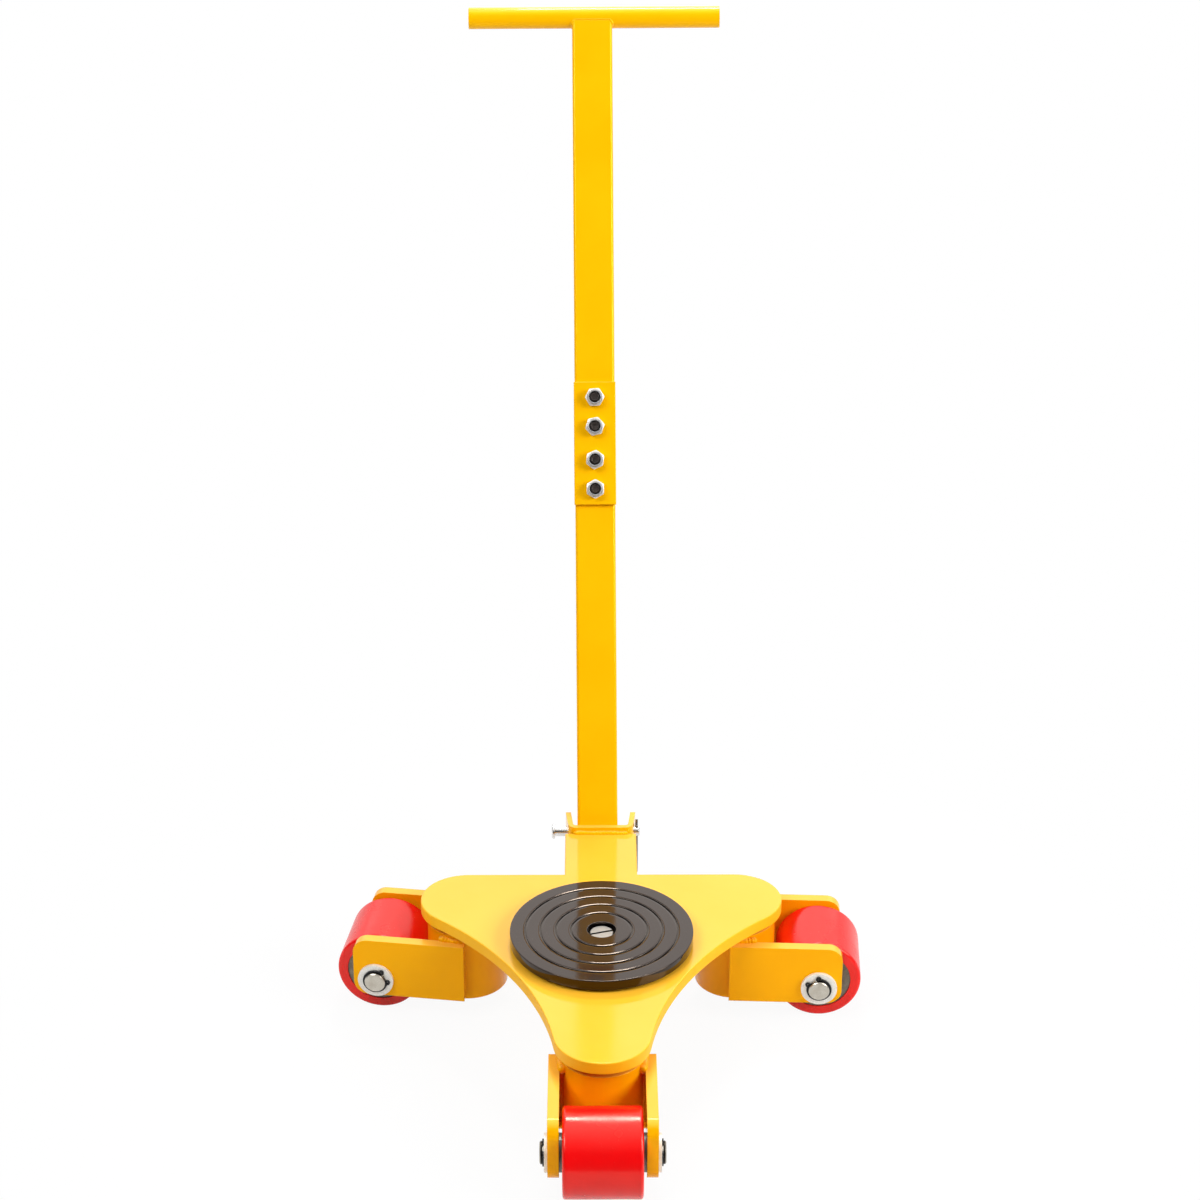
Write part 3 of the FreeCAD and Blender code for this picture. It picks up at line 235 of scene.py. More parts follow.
class Effects:
    """The shader groups that several finishes share, each built once.

    Pairs named for noise are its detail and roughness, and the others the ends of a range.
    """

    VECTORS = ("Vector", "Normal")
    BEVEL_SAMPLES = 6
    EDGE_LEAN = (0.995, 0.80)
    RAGGED_NOISE = (3.0, 0.5)
    RAGGED = (0.30, 0.62)
    RIPPLE_NOISE = (1.5, 0.45)
    DRIFT_NOISE = (3.0, 0.55)
    THICKNESS = (0.32, 0.68)
    SPECK_NOISE = (4.0, 0.6)
    SPECKS = (0.63, 0.74)
    SETTLED = (-0.2, 0.9, 0.25, 1.0)
    LOOKS_UP = (0.70, 0.97)
    RING_SLANT = 0.7
    UNEVEN_SCALE = 260.0
    UNEVEN_DEPTH = 0.0006
    PITS = (0.15, 0.75)

    def __init__(self) -> None:
        """Build every group."""
        self.edge_wear = self.build_edge_wear()
        self.orange_peel = self.build_orange_peel()
        self.dust = self.build_dust()
        self.lathe_marks = self.build_lathe_marks()
        self.crystals = self.build_crystals()

    def start(
        self, name: str, inputs: tuple[str, ...], outputs: tuple[str, ...]
    ) -> tuple[Bench, Sockets, Sockets]:
        """Make an empty group with named sockets.

        Args:
            name: the group's name.
            inputs: names of the sockets that it takes.
            outputs: names of the sockets that it gives.

        Returns:
            The group's bench, the inputs to read and the outputs to fill.
        """
        tree = bpy.data.node_groups.new(name, "ShaderNodeTree")
        for way, names in (("INPUT", inputs), ("OUTPUT", outputs)):
            for socket in names:
                kind = "NodeSocketVector" if socket in self.VECTORS else "NodeSocketFloat"
                tree.interface.new_socket(name=socket, in_out=way, socket_type=kind)
        given = tree.nodes.new("NodeGroupInput").outputs
        return Bench(tree), given, tree.nodes.new("NodeGroupOutput").inputs

    def build_edge_wear(self) -> Tree:
        """Rounded edges: a softened normal, and a ragged mask along the edges.

        Returns:
            The group.
        """
        bench, given, taken = self.start(
            "edge_wear", ("Vector", "Radius", "Raggedness"), ("Wear", "Normal"))
        bevel = bench.node("Bevel", {"Radius": given["Radius"]}, samples=self.BEVEL_SAMPLES)
        rounded = bevel.outputs[0]
        flat = bench.node("NewGeometry").outputs["Normal"]
        edge = bench.span(bench.measure("DOT_PRODUCT", rounded, flat), *self.EDGE_LEAN)
        clouds = bench.noise(given["Vector"], given["Raggedness"], *self.RAGGED_NOISE)
        bench.feed(taken["Wear"], bench.times(edge, bench.span(clouds, *self.RAGGED)))
        bench.feed(taken["Normal"], rounded)
        return bench.tree

    def build_orange_peel(self) -> Tree:
        """Sprayed skin: a fine ripple for the bump, and slow drifts of thickness.

        Returns:
            The group.
        """
        bench, given, taken = self.start(
            "orange_peel", ("Vector", "Ripple", "Drift"), ("Height", "Thickness"))
        ripple = bench.noise(given["Vector"], given["Ripple"], *self.RIPPLE_NOISE)
        drift = bench.noise(given["Vector"], given["Drift"], *self.DRIFT_NOISE)
        bench.feed(taken["Height"], ripple)
        bench.feed(taken["Thickness"], bench.span(drift, *self.THICKNESS))
        return bench.tree

    def build_dust(self) -> Tree:
        """Settled specks, thickest on faces that look up at rest.

        Returns:
            The group.
        """
        bench, given, taken = self.start(
            "dust", ("Vector", "Scale", "Amount"), ("Mask", "Upward"))
        clouds = bench.noise(given["Vector"], given["Scale"], *self.SPECK_NOISE)
        amount = bench.times(bench.span(clouds, *self.SPECKS), given["Amount"])
        height = bench.along(bench.node("TexCoord").outputs["Normal"], "Z")
        bench.feed(taken["Mask"], bench.times(amount, bench.span(height, *self.SETTLED)))
        bench.feed(taken["Upward"], bench.span(height, *self.LOOKS_UP))
        return bench.tree

    def build_lathe_marks(self) -> Tree:
        """Rings about the Z axis of the vector given, a little uneven.

        Returns:
            The group.
        """
        bench, given, taken = self.start("lathe_marks", ("Vector", "Rings"), ("Line",))
        place = given["Vector"]
        slant = bench.times(bench.along(place, "Z"), self.RING_SLANT)
        run = bench.plus(bench.from_axis(place), slant)
        uneven = bench.times(bench.noise(place, self.UNEVEN_SCALE), self.UNEVEN_DEPTH)
        wave = bench.math("SINE", bench.times(bench.plus(run, uneven), given["Rings"]))
        bench.feed(taken["Line"], bench.span(wave, -1.0, 1.0))
        return bench.tree

    def build_crystals(self) -> Tree:
        """Small cells of differing brightness, with the pits between them.

        Returns:
            The group.
        """
        bench, given, taken = self.start("crystals", ("Vector", "Scale"), ("Shade", "Pit"))
        sockets = {"Vector": given["Vector"], "Scale": given["Scale"]}
        cells = bench.node("TexVoronoi", sockets, feature="F1").outputs
        shade = bench.node("SeparateColor", {0: cells["Color"]}).outputs[0]
        bench.feed(taken["Shade"], shade)
        bench.feed(taken["Pit"], bench.span(cells["Distance"], *self.PITS))
        return bench.tree


# Finishes


@dataclass(frozen=True, kw_only=True)
class GlossSkin:
    """Powder coat or poured polyurethane: a rippled gloss skin with paler edges and specks.

    Faces that look up take a paler colour, a painted sheen of top light, and the grooves, where
    there are any, take painted shade below their level. The ripple is in millimetres. The ranges
    are multiples of the sheen and the roughness from a thin skin to a thick one.
    """

    name: str
    colour: Colour
    deep_colour: Colour
    edge_colour: Colour
    dust_colour: Colour
    gloss_colour: Colour
    top_sheen_colour: Colour = WHITE
    groove_shade_colour: Colour = (0.003, 0.002, 0.002)
    roughness: float
    side_roughness: float = 0.0
    ior: float = 1.55
    edge_radius: float
    wear: float
    ripple: float
    ripple_strength: float = 1.0
    top_sheen: float = 0.0
    dust: float
    groove_shade_level: float = 0.0
    groove_shade_start: float = 0.4
    ripple_scale: float = 420.0
    drift_scale: float = 14.0
    ragged_scale: float = 70.0
    speck_scale: float = 620.0
    speck_gloss: float = 0.25
    top_sheen_range: Pair = (0.8, 1.1)
    gloss_range: Pair = (1.25, 0.85)

    def build(self, effects: Effects) -> Material:
        """Make the material.

        Args:
            effects: the shared groups.

        Returns:
            The finished material.
        """
        bench = Surface(self.name)
        skin = bench.effect(
            effects.orange_peel, {"Ripple": self.ripple_scale, "Drift": self.drift_scale})
        edges = bench.effect(
            effects.edge_wear, {"Radius": self.edge_radius, "Raggedness": self.ragged_scale})
        specks = bench.effect(effects.dust, {"Scale": self.speck_scale, "Amount": self.dust})
        paint = bench.mix(skin["Thickness"], self.deep_colour, self.colour)
        # Faces that look up take a paler colour: a painted sheen of top light.
        if self.top_sheen:
            top_sheen_cover = bench.scaled(skin["Thickness"], self.top_sheen, self.top_sheen_range)
            paint = bench.mix(bench.times(specks["Upward"], top_sheen_cover), paint, self.top_sheen_colour)
        # Pale edges: worn paint, and on the black cap partly a painted glint along the ring edges.
        paint = bench.mix(bench.times(edges["Wear"], self.wear), paint, self.edge_colour)
        paint = bench.mix(specks["Mask"], paint, self.dust_colour)
        # Painted shade in the grooves: darker below the groove level.
        if self.groove_shade_level:
            limits = (self.groove_shade_level * self.groove_shade_start, self.groove_shade_level)
            groove_shade = bench.span(bench.along(bench.spot, "Z"), *limits)
            paint = bench.mix(groove_shade, paint, self.groove_shade_colour)
        gloss = bench.scaled(skin["Thickness"], self.roughness, self.gloss_range)
        gloss = bench.plus(gloss, bench.times(specks["Mask"], self.speck_gloss))
        if self.side_roughness:
            sides = bench.scaled(specks["Upward"], self.side_roughness, (1.0, 0.0))
            gloss = bench.plus(gloss, sides)
        bump = {"Strength": self.ripple_strength, "Distance": MILLIMETRE,
                "Height": bench.times(skin["Height"], self.ripple), "Normal": edges["Normal"]}
        return bench.finish(
            paint, gloss, bump, {"IOR": self.ior, "Specular Tint": self.gloss_colour})


@dataclass(frozen=True)
class PaintedShade:
    """Shade and dark reflection painted on bare metal; a limit that is None paints nothing."""

    below: float | None = None
    reach: float | None = None
    rim: float | None = None
    share: float = 1.0
    soft: float = 0.0004
    colour: Colour = (0.020, 0.015, 0.011)

    def spread(self, bench: Surface, lathe: Socket, metal: Socket) -> Socket:
        """Paint shade and dark reflection on a metal below a level, near the middle of its axle, or
        out on its rim.

        Args:
            bench: the material under construction.
            lathe: the place on the object, with the axle along Z.
            metal: the clean colour.

        Returns:
            The colour with its painted shade.
        """
        masks = []
        if self.below is not None:
            height = bench.along(bench.spot, "Z")
            masks.append(bench.span(height, self.below, self.below - self.soft))
        if self.reach is not None:
            off = bench.math("ABSOLUTE", bench.along(lathe, "Z"))
            masks.append(bench.span(off, self.reach + 2 * self.soft, self.reach))
        if self.rim is not None:
            masks.append(bench.span(bench.from_axis(lathe), self.rim - self.soft, self.rim))
        for mask in masks:
            metal = bench.mix(bench.times(mask, self.share), metal, self.colour)
        return metal


@dataclass(frozen=True, kw_only=True)
class BareMetal:
    """Unpainted steel, zinc plate, wire or casting, with the marks of its making."""

    name: str
    colour: Colour
    stain_colour: Colour
    stain: float
    roughness: float
    grain: Grain = Grain.DRAWN
    grain_scale: float
    grain_depth: float
    edge_colour: Colour
    edge_radius: float = 0.0004
    metallic: float = 1.0
    ragged_scale: float = 160.0
    grain_detail: float = 3.0
    grain_shade: float = 0.16
    grain_colour: Colour = (0.02, 0.02, 0.02)
    grain_gloss: float = 0.05
    grain_strength: float = 0.4
    stain_noise: tuple[float, ...] = (130.0, 4.0, 0.6)
    stain_range: Pair = (0.38, 0.70)
    stain_gloss: float = 0.25

    def build(
        self, effects: Effects, axis: Matrix | None = None, painted_shade: PaintedShade = PaintedShade()
    ) -> Material:
        """Make the material.

        Args:
            effects: the shared groups.
            axis: the lathe's axis in the object's frame, or None for +Z through the origin.
            painted_shade: where shade and dark reflection are painted on.

        Returns:
            The finished material.
        """
        bench = Surface(self.name)
        lathe = bench.spot
        if axis is not None:
            undo = axis.inverted()
            lathe = bench.node("Mapping", {
                "Vector": bench.spot, "Location": undo.translation,
                "Rotation": undo.to_euler()}).outputs[0]
        if self.grain is Grain.TURNED:
            rings = {"Vector": lathe, "Rings": self.grain_scale}
            shade = depth = bench.effect(effects.lathe_marks, rings)["Line"]
        elif self.grain is Grain.DRAWN:
            shade = depth = bench.noise(bench.spot, self.grain_scale, self.grain_detail)
        else:
            cells = bench.effect(effects.crystals, {"Scale": self.grain_scale})
            shade, depth = cells["Shade"], cells["Pit"]
        edges = bench.effect(
            effects.edge_wear, {"Radius": self.edge_radius, "Raggedness": self.ragged_scale})
        clouds = bench.span(bench.noise(bench.spot, *self.stain_noise), *self.stain_range)
        stained = bench.times(clouds, self.stain)
        metal = bench.mix(stained, self.colour, self.stain_colour)
        metal = bench.mix(bench.times(shade, self.grain_shade), metal, self.grain_colour)
        metal = bench.mix(edges["Wear"], metal, self.edge_colour)
        metal = painted_shade.spread(bench, lathe, metal)
        gloss = bench.plus(self.roughness, bench.times(stained, self.stain_gloss))
        gloss = bench.plus(gloss, bench.scaled(shade, self.grain_gloss, (-1.0, 1.0)))
        bump = {"Strength": self.grain_strength, "Distance": self.grain_depth,
                "Height": depth, "Normal": edges["Normal"]}
        return bench.finish(metal, gloss, bump, {"Metallic": self.metallic})


# The film on the yellow coats is a painted sheen of top light on faces that look up.
YELLOW_COAT = GlossSkin(
    name="yellow_powder_coat", colour=(1.0, 0.515, 0.002), deep_colour=(0.98, 0.482, 0.001),
    edge_colour=(1.0, 0.62, 0.06), top_sheen_colour=(1.0, 0.520, 0.070),
    dust_colour=(0.60, 0.48, 0.30), gloss_colour=(1.0, 0.80, 0.12), roughness=0.09,
    edge_radius=0.0009, wear=0.4, ripple=0.003, top_sheen=0.80, dust=0.03)
YELLOW_PLATE = replace(
    YELLOW_COAT, name="yellow_plate_coat", gloss_colour=(1.0, 0.88, 0.55), side_roughness=0.45,
    top_sheen=0.47)
# A deeper orange copy of the yellow coat for the casters: painted shade; the paint is the same as
# on the rest.
SHADED_CASTER_YELLOW = replace(
    YELLOW_COAT, name="yellow_caster_coat", colour=(1.0, 0.455, 0.002),
    deep_colour=(0.98, 0.422, 0.001), gloss_colour=(1.0, 0.62, 0.05))
# The cap's pale edge colour is partly worn paint and partly a painted glint along the ring edges.
BLACK_COAT = GlossSkin(
    name="black_cap_coat", colour=(0.010, 0.008, 0.010), deep_colour=(0.015, 0.012, 0.014),
    edge_colour=(0.34, 0.32, 0.29), top_sheen_colour=(0.012, 0.010, 0.012),
    dust_colour=(0.30, 0.27, 0.24), gloss_colour=(1.0, 0.76, 0.57), roughness=0.06,
    edge_radius=0.0006, wear=0.8, ripple=0.008, top_sheen=0.3, dust=0.22, groove_shade_level=-0.0010)
ZINC_PLATE = BareMetal(
    name="zinc_plate", colour=(0.88, 0.88, 0.86), stain_colour=(0.66, 0.63, 0.55), stain=0.20,
    roughness=0.34, grain=Grain.PLATED, grain_scale=1400.0, grain_depth=0.00003,
    edge_colour=(0.97, 0.97, 0.97), metallic=0.35)
BRIGHT_ZINC = replace(
    ZINC_PLATE, name="bright_zinc", colour=(0.92, 0.90, 0.84), roughness=0.40, stain=0.15,
    metallic=0.25)
POLISHED_PIN = replace(
    ZINC_PLATE, name="polished_pin", colour=(0.82, 0.82, 0.81), stain_colour=(0.56, 0.52, 0.44),
    roughness=0.26, stain=0.12, metallic=0.9)
NUT_COLLAR = replace(
    ZINC_PLATE, name="nut_collar", colour=(0.46, 0.46, 0.47), roughness=0.42,
    edge_colour=(0.80, 0.80, 0.80), metallic=0.60)
TURNED_STEEL = BareMetal(
    name="turned_steel", colour=(0.62, 0.58, 0.50), stain_colour=(0.40, 0.34, 0.26), stain=0.45,
    roughness=0.28, grain=Grain.TURNED, grain_scale=9000.0, grain_depth=0.00004,
    edge_colour=(0.80, 0.78, 0.73))
SCREW_STEEL = BareMetal(
    name="screw_steel", colour=(0.36, 0.35, 0.33), stain_colour=(0.22, 0.20, 0.17), stain=0.5,
    roughness=0.34, grain=Grain.TURNED, grain_scale=7000.0, grain_depth=0.00003,
    edge_colour=(0.55, 0.54, 0.51))
BEARING_STEEL = BareMetal(
    name="bearing_steel", colour=(0.17, 0.16, 0.15), stain_colour=(0.06, 0.05, 0.04), stain=0.6,
    roughness=0.26, grain_scale=500.0, grain_depth=0.00002, edge_colour=(0.34, 0.33, 0.31))
SPRING_WIRE = BareMetal(
    name="spring_wire", colour=(0.30, 0.27, 0.25), stain_colour=(0.14, 0.12, 0.10), stain=0.6,
    roughness=0.36, grain_scale=900.0, grain_depth=0.00003, edge_colour=(0.50, 0.47, 0.43))
DARK_BOLT = BareMetal(
    name="dark_bolt_steel", colour=(0.052, 0.045, 0.042), stain_colour=(0.10, 0.07, 0.06),
    stain=0.5, roughness=0.42, grain_scale=700.0, grain_depth=0.00004,
    edge_colour=(0.22, 0.20, 0.18))
BLACK_SPRING = BareMetal(
    name="black_spring_steel", colour=(0.018, 0.018, 0.019), stain_colour=(0.05, 0.048, 0.045),
    stain=0.4, roughness=0.34, grain_scale=900.0, grain_depth=0.00002,
    edge_colour=(0.22, 0.22, 0.22), edge_radius=0.0002, metallic=0.6)
IRON_CORE = BareMetal(
    name="iron_core", colour=(0.24, 0.21, 0.17), stain_colour=(0.13, 0.11, 0.085), stain=0.5,
    roughness=0.46, grain=Grain.CAST, grain_scale=800.0, grain_depth=0.00005,
    edge_colour=(0.42, 0.39, 0.34), metallic=0.85)
RED_TREAD = GlossSkin(
    name="red_tread", colour=(0.86, 0.004, 0.005), deep_colour=(0.79, 0.003, 0.004),
    edge_colour=(0.9, 0.35, 0.33), dust_colour=(0.62, 0.30, 0.27), gloss_colour=(1.0, 0.95, 0.75),
    roughness=0.23, ior=1.46, edge_radius=0.0008, wear=0.10, ripple=0.08, ripple_strength=0.25,
    dust=0.08, ripple_scale=260.0, drift_scale=28.0, ragged_scale=60.0, speck_scale=520.0,
    speck_gloss=0.3, gloss_range=(1.3, 0.8))


# Meshes


def turns(count: int) -> list[float]:
    """Angles of an even round of corners."""
    return [FULL_TURN * k / count for k in range(count)]


def circle(radius: float, level: float, steps: int) -> Loop:
    """Ring of points at one radius and level."""
    ways = [(math.cos(turn), math.sin(turn)) for turn in turns(steps)]
    return [Vector((radius * x, radius * y, level)) for x, y in ways]


def quarter_round(middle: Pair, radius: float, start: float, steps: int) -> list[Pair]:
    """Corners of a quarter of a circle.

    Args:
        middle: where its centre lies.
        radius: its radius.
        start: the angle in degrees at which it begins.
        steps: how many steps it takes.

    Returns:
        The corners in order.
    """
    ways = [math.radians(start + 90.0 * i / steps) for i in range(steps + 1)]
    across, along = middle
    return [(across + radius * math.cos(way), along + radius * math.sin(way)) for way in ways]


def piece_from(name: str, skin: Skin, finish: Material, crease: float = 32.0) -> Piece:
    """Make a mesh object whose sharp corners stay sharp.

    Args:
        name: the piece's name.
        skin: its corners at rest, and the corner numbers of each face.
        finish: the material it takes.
        crease: angle in degrees above which two faces meet in a hard edge.

    Returns:
        The new object, linked to the scene.
    """
    points, faces = skin
    mesh = bpy.data.meshes.new(name)
    mesh.from_pydata([tuple(point) for point in points], [], faces)
    mesh.validate()
    mesh.polygons.foreach_set("use_smooth", [True] * len(mesh.polygons))
    mesh.set_sharp_from_angle(angle=math.radians(crease))
    mesh.materials.append(finish)
    made = bpy.data.objects.new(name, mesh)
    bpy.context.scene.collection.objects.link(made)
    return made


def loft(rings: list[Loop], closed: bool) -> Skin:
    """Skin a run of rings that have the same number of corners.

    Args:
        rings: the rings in order.
        closed: whether the last ring joins the first; otherwise both ends are capped.

    Returns:
        The corners, and the faces by corner number.
    """
    count = len(rings[0])
    points = [point for ring in rings for point in ring]
    faces = []
    for i in range(len(rings) if closed else len(rings) - 1):
        low = i * count
        high = (i + 1) % len(rings) * count
        for k in range(count):
            nxt = (k + 1) % count
            faces.append((low + k, low + nxt, high + nxt, high + k))
    if not closed:
        last = (len(rings) - 1) * count
        faces.append(tuple(reversed(range(count))))
        faces.append(tuple(last + k for k in range(count)))
    return points, faces


def join_parts(parts: list[Skin]) -> Skin:
    """Gather several skins in one list of corners and faces.

    Args:
        parts: corners and faces of each skin.

    Returns:
        All corners, and all faces renumbered.
    """
    points, faces = [], []
    for corners, sides in parts:
        shift = len(points)
        points += corners
        faces += [tuple(k + shift for k in side) for side in sides]
    return points, faces


@dataclass
class WeldBead:
    """One run of weld: a rippled, slightly wandering bead along a path."""

    path: Loop
    radii: list[float]
    closed: bool = False
    ripple: float = 0.0026
    ripple_share: float = 0.16
    swell_share: float = 0.05
    swell_rate: float = 1900.0
    end_share: float = 0.35
    sides: int = 12
    steps_per_ripple: int = 5
    least_steps: int = 8

    def stations(self) -> list[tuple[Vector, float, float]]:
        """Walk the path in small even steps.

        Returns:
            Place, bead radius and distance walked at each step.
        """
        corners = self.path + self.path[:1] if self.closed else self.path
        sizes = self.radii + self.radii[:1] if self.closed else self.radii
        walked = [0.0]
        for first, second in zip(corners, corners[1:]):
            walked.append(walked[-1] + (second - first).length)
        steps = round(walked[-1] / self.ripple * self.steps_per_ripple)
        count = max(self.least_steps, steps)
        found = []
        run = 0
        for i in range(count if self.closed else count + 1):
            goal = walked[-1] * i / count
            while run < len(corners) - 2 and walked[run + 1] < goal:
                run += 1
            share = (goal - walked[run]) / max(walked[run + 1] - walked[run], TINY)
            place = corners[run].lerp(corners[run + 1], share)
            found.append((place, sizes[run] + (sizes[run + 1] - sizes[run]) * share, goal))
        return found

    def skin(self) -> Skin:
        """Make the bead's corners and faces.

        Returns:
            The corners, and the faces by corner number.
        """
        walk = self.stations()
        count = len(walk)
        rings = []
        side = Vector()
        for i, (place, radius, gone) in enumerate(walk):
            before = walk[i - 1][0] if i or self.closed else place
            after = walk[(i + 1) % count][0] if i + 1 < count or self.closed else place
            along = (after - before).normalized()
            if not side.length:
                side = along.orthogonal().normalized()
            side = (side - along * side.dot(along)).normalized()
            up = along.cross(side)
            dip = self.ripple_share * (1.0 - gone / self.ripple % 1.0) ** 2
            scale = 1.0 - dip + self.swell_share * math.sin(gone * self.swell_rate)
            if not self.closed:
                end = min(1.0, min(i, count - 1 - i) / self.steps_per_ripple)
                scale *= self.end_share + (1.0 - self.end_share) * math.sqrt(end)
            rings.append([
                place + (side * math.cos(turn) + up * math.sin(turn)) * radius * scale
                for turn in turns(self.sides)])
        return loft(rings, self.closed)


def weld_piece(name: str, beads: list[WeldBead], body: str, paint: Material) -> None:
    """Make one painted piece of several weld runs and let it ride on a body.

    Args:
        name: the piece's name.
        beads: the weld runs.
        body: the CAD body that carries them.
        paint: the coat over them.
    """
    made = piece_from(name, join_parts([bead.skin() for bead in beads]), paint, WELD_CREASE)
    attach(made, body)
    LOG.info("%s: %d weld runs on %s", name, len(beads), body)


def dress(nodes: list[str], finish: Material) -> None:
    """Give CAD nodes their finish.

    Args:
        nodes: the nodes' names.
        finish: the material they take.
    """
    for name in nodes:
        mesh = frame["nodes"][name].data
        mesh.materials.clear()
        mesh.materials.append(finish)
        LOG.info("%s: %s", name, finish.name)


def joint(name: str) -> dict:
    """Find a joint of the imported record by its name."""
    return next(item for item in frame["joints"] if item["name"] == name)


class Palette:
    """The shared groups, and the finishes that several nodes share."""

    def __init__(self) -> None:
        """Build the groups and the finishes."""
        self.effects = Effects()
        self.yellow = YELLOW_COAT.build(self.effects)
        self.shaded_caster_yellow = SHADED_CASTER_YELLOW.build(self.effects)
        self.black_cap = BLACK_COAT.build(self.effects)
        self.zinc = ZINC_PLATE.build(self.effects)
        self.bearing = BEARING_STEEL.build(self.effects)
        self.black_spring = BLACK_SPRING.build(self.effects)
        self.dark_bolt = DARK_BOLT.build(self.effects)


# Sub-assemblies


@dataclass
class LoadTable:
    """Base plate with its grooved load cap, pivot post and cap screw."""

    palette: Palette
    slot_rim: float = 0.0006
    radius: float = 0.085
    thickness: float = 0.010
    edge_round: float = 0.0008
    round_steps: int = 6
    ring_radius: float = 0.0283
    ring_step: float = 0.01415
    ring_count: int = 4
    ring_half_width: float = 0.0009
    ring_depth: float = 0.0014
    shoulder: float = 0.0024
    dish: float = 0.00042
    dish_steps: int = 8
    flat_margin: float = 0.0003
    recess_radius: float = 0.0135
    recess_depth: float = 0.0068
    bore: float = 0.00806
    race_inner: float = 0.04695
    race_outer: float = 0.05905
    race_depth: float = 0.003
    turn_steps: int = 192

    def shoulder_level(self, off: float) -> float:
        """Level of the face at a distance from a ring's middle, dished down towards it."""
        share = min(1.0, off / self.shoulder)
        return -self.dish * (1.0 - share * share * (3.0 - 2.0 * share))

    def ring_profile(self, middle: float) -> list[Pair]:
        """Corners of one ring with its two dished shoulders, from the rim inwards.

        Args:
            middle: radius of the ring.

        Returns:
            Radius and level of each corner.
        """
        step = (self.shoulder - self.ring_half_width) / self.dish_steps
        offs = [self.ring_half_width + step * i for i in range(self.dish_steps + 1)]
        offs.append(self.shoulder + self.flat_margin)
        outer = [(middle + off, self.shoulder_level(off)) for off in reversed(offs)]
        inner = [(middle - off, self.shoulder_level(off)) for off in offs]
        floor = [(middle + side * self.ring_half_width, -self.ring_depth) for side in (1, -1)]
        return outer + floor + inner

    def cap_profile(self) -> list[Pair]:
        """Section of the cap, from its bore along the underside and back over the top.

        Returns:
            Radius and level of each corner.
        """
        under = -self.thickness
        seat = under + self.race_depth
        corners = [(self.bore, under), (self.race_inner, under), (self.race_inner, seat),
                   (self.race_outer, seat), (self.race_outer, under)]
        middle = self.radius - self.edge_round
        for level, start in ((under + self.edge_round, -90.0), (-self.edge_round, 0.0)):
            corners += quarter_round((middle, level), self.edge_round, start, self.round_steps)
        corners.append((middle - self.flat_margin, 0.0))
        for i in reversed(range(self.ring_count)):
            corners += self.ring_profile(self.ring_radius + i * self.ring_step)
        edge, floor = self.recess_radius, -self.recess_depth
        return corners + [(edge, 0.0), (edge, floor), (self.bore, floor)]

    def build(self) -> None:
        """Turn the cap with the soft shoulders of its rings, in place of the plain one."""
        rings = [circle(radius, level, self.turn_steps) for radius, level in self.cap_profile()]
        made = piece_from("ringed_load_cap", loft(rings, True), self.palette.black_cap)
        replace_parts(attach(made, "load_cap"), "load_cap")
        LOG.info("ringed_load_cap: one piece for load_cap")

    def dress(self) -> None:
        """Give each node its finish."""
        effects = self.palette.effects
        dress(["base_plate"], YELLOW_PLATE.build(effects))
        dress(["load_cap"], self.palette.black_cap)
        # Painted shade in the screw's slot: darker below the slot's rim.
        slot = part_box("cap_screw")[1].z - self.slot_rim
        dress(["cap_screw"], SCREW_STEEL.build(effects, painted_shade=PaintedShade(below=slot)))
        dress(["cap_pivot_post"], TURNED_STEEL.build(effects))
        dress(["cap_upper_race", "cap_lower_race", "cap_ball_cage"], self.palette.bearing)


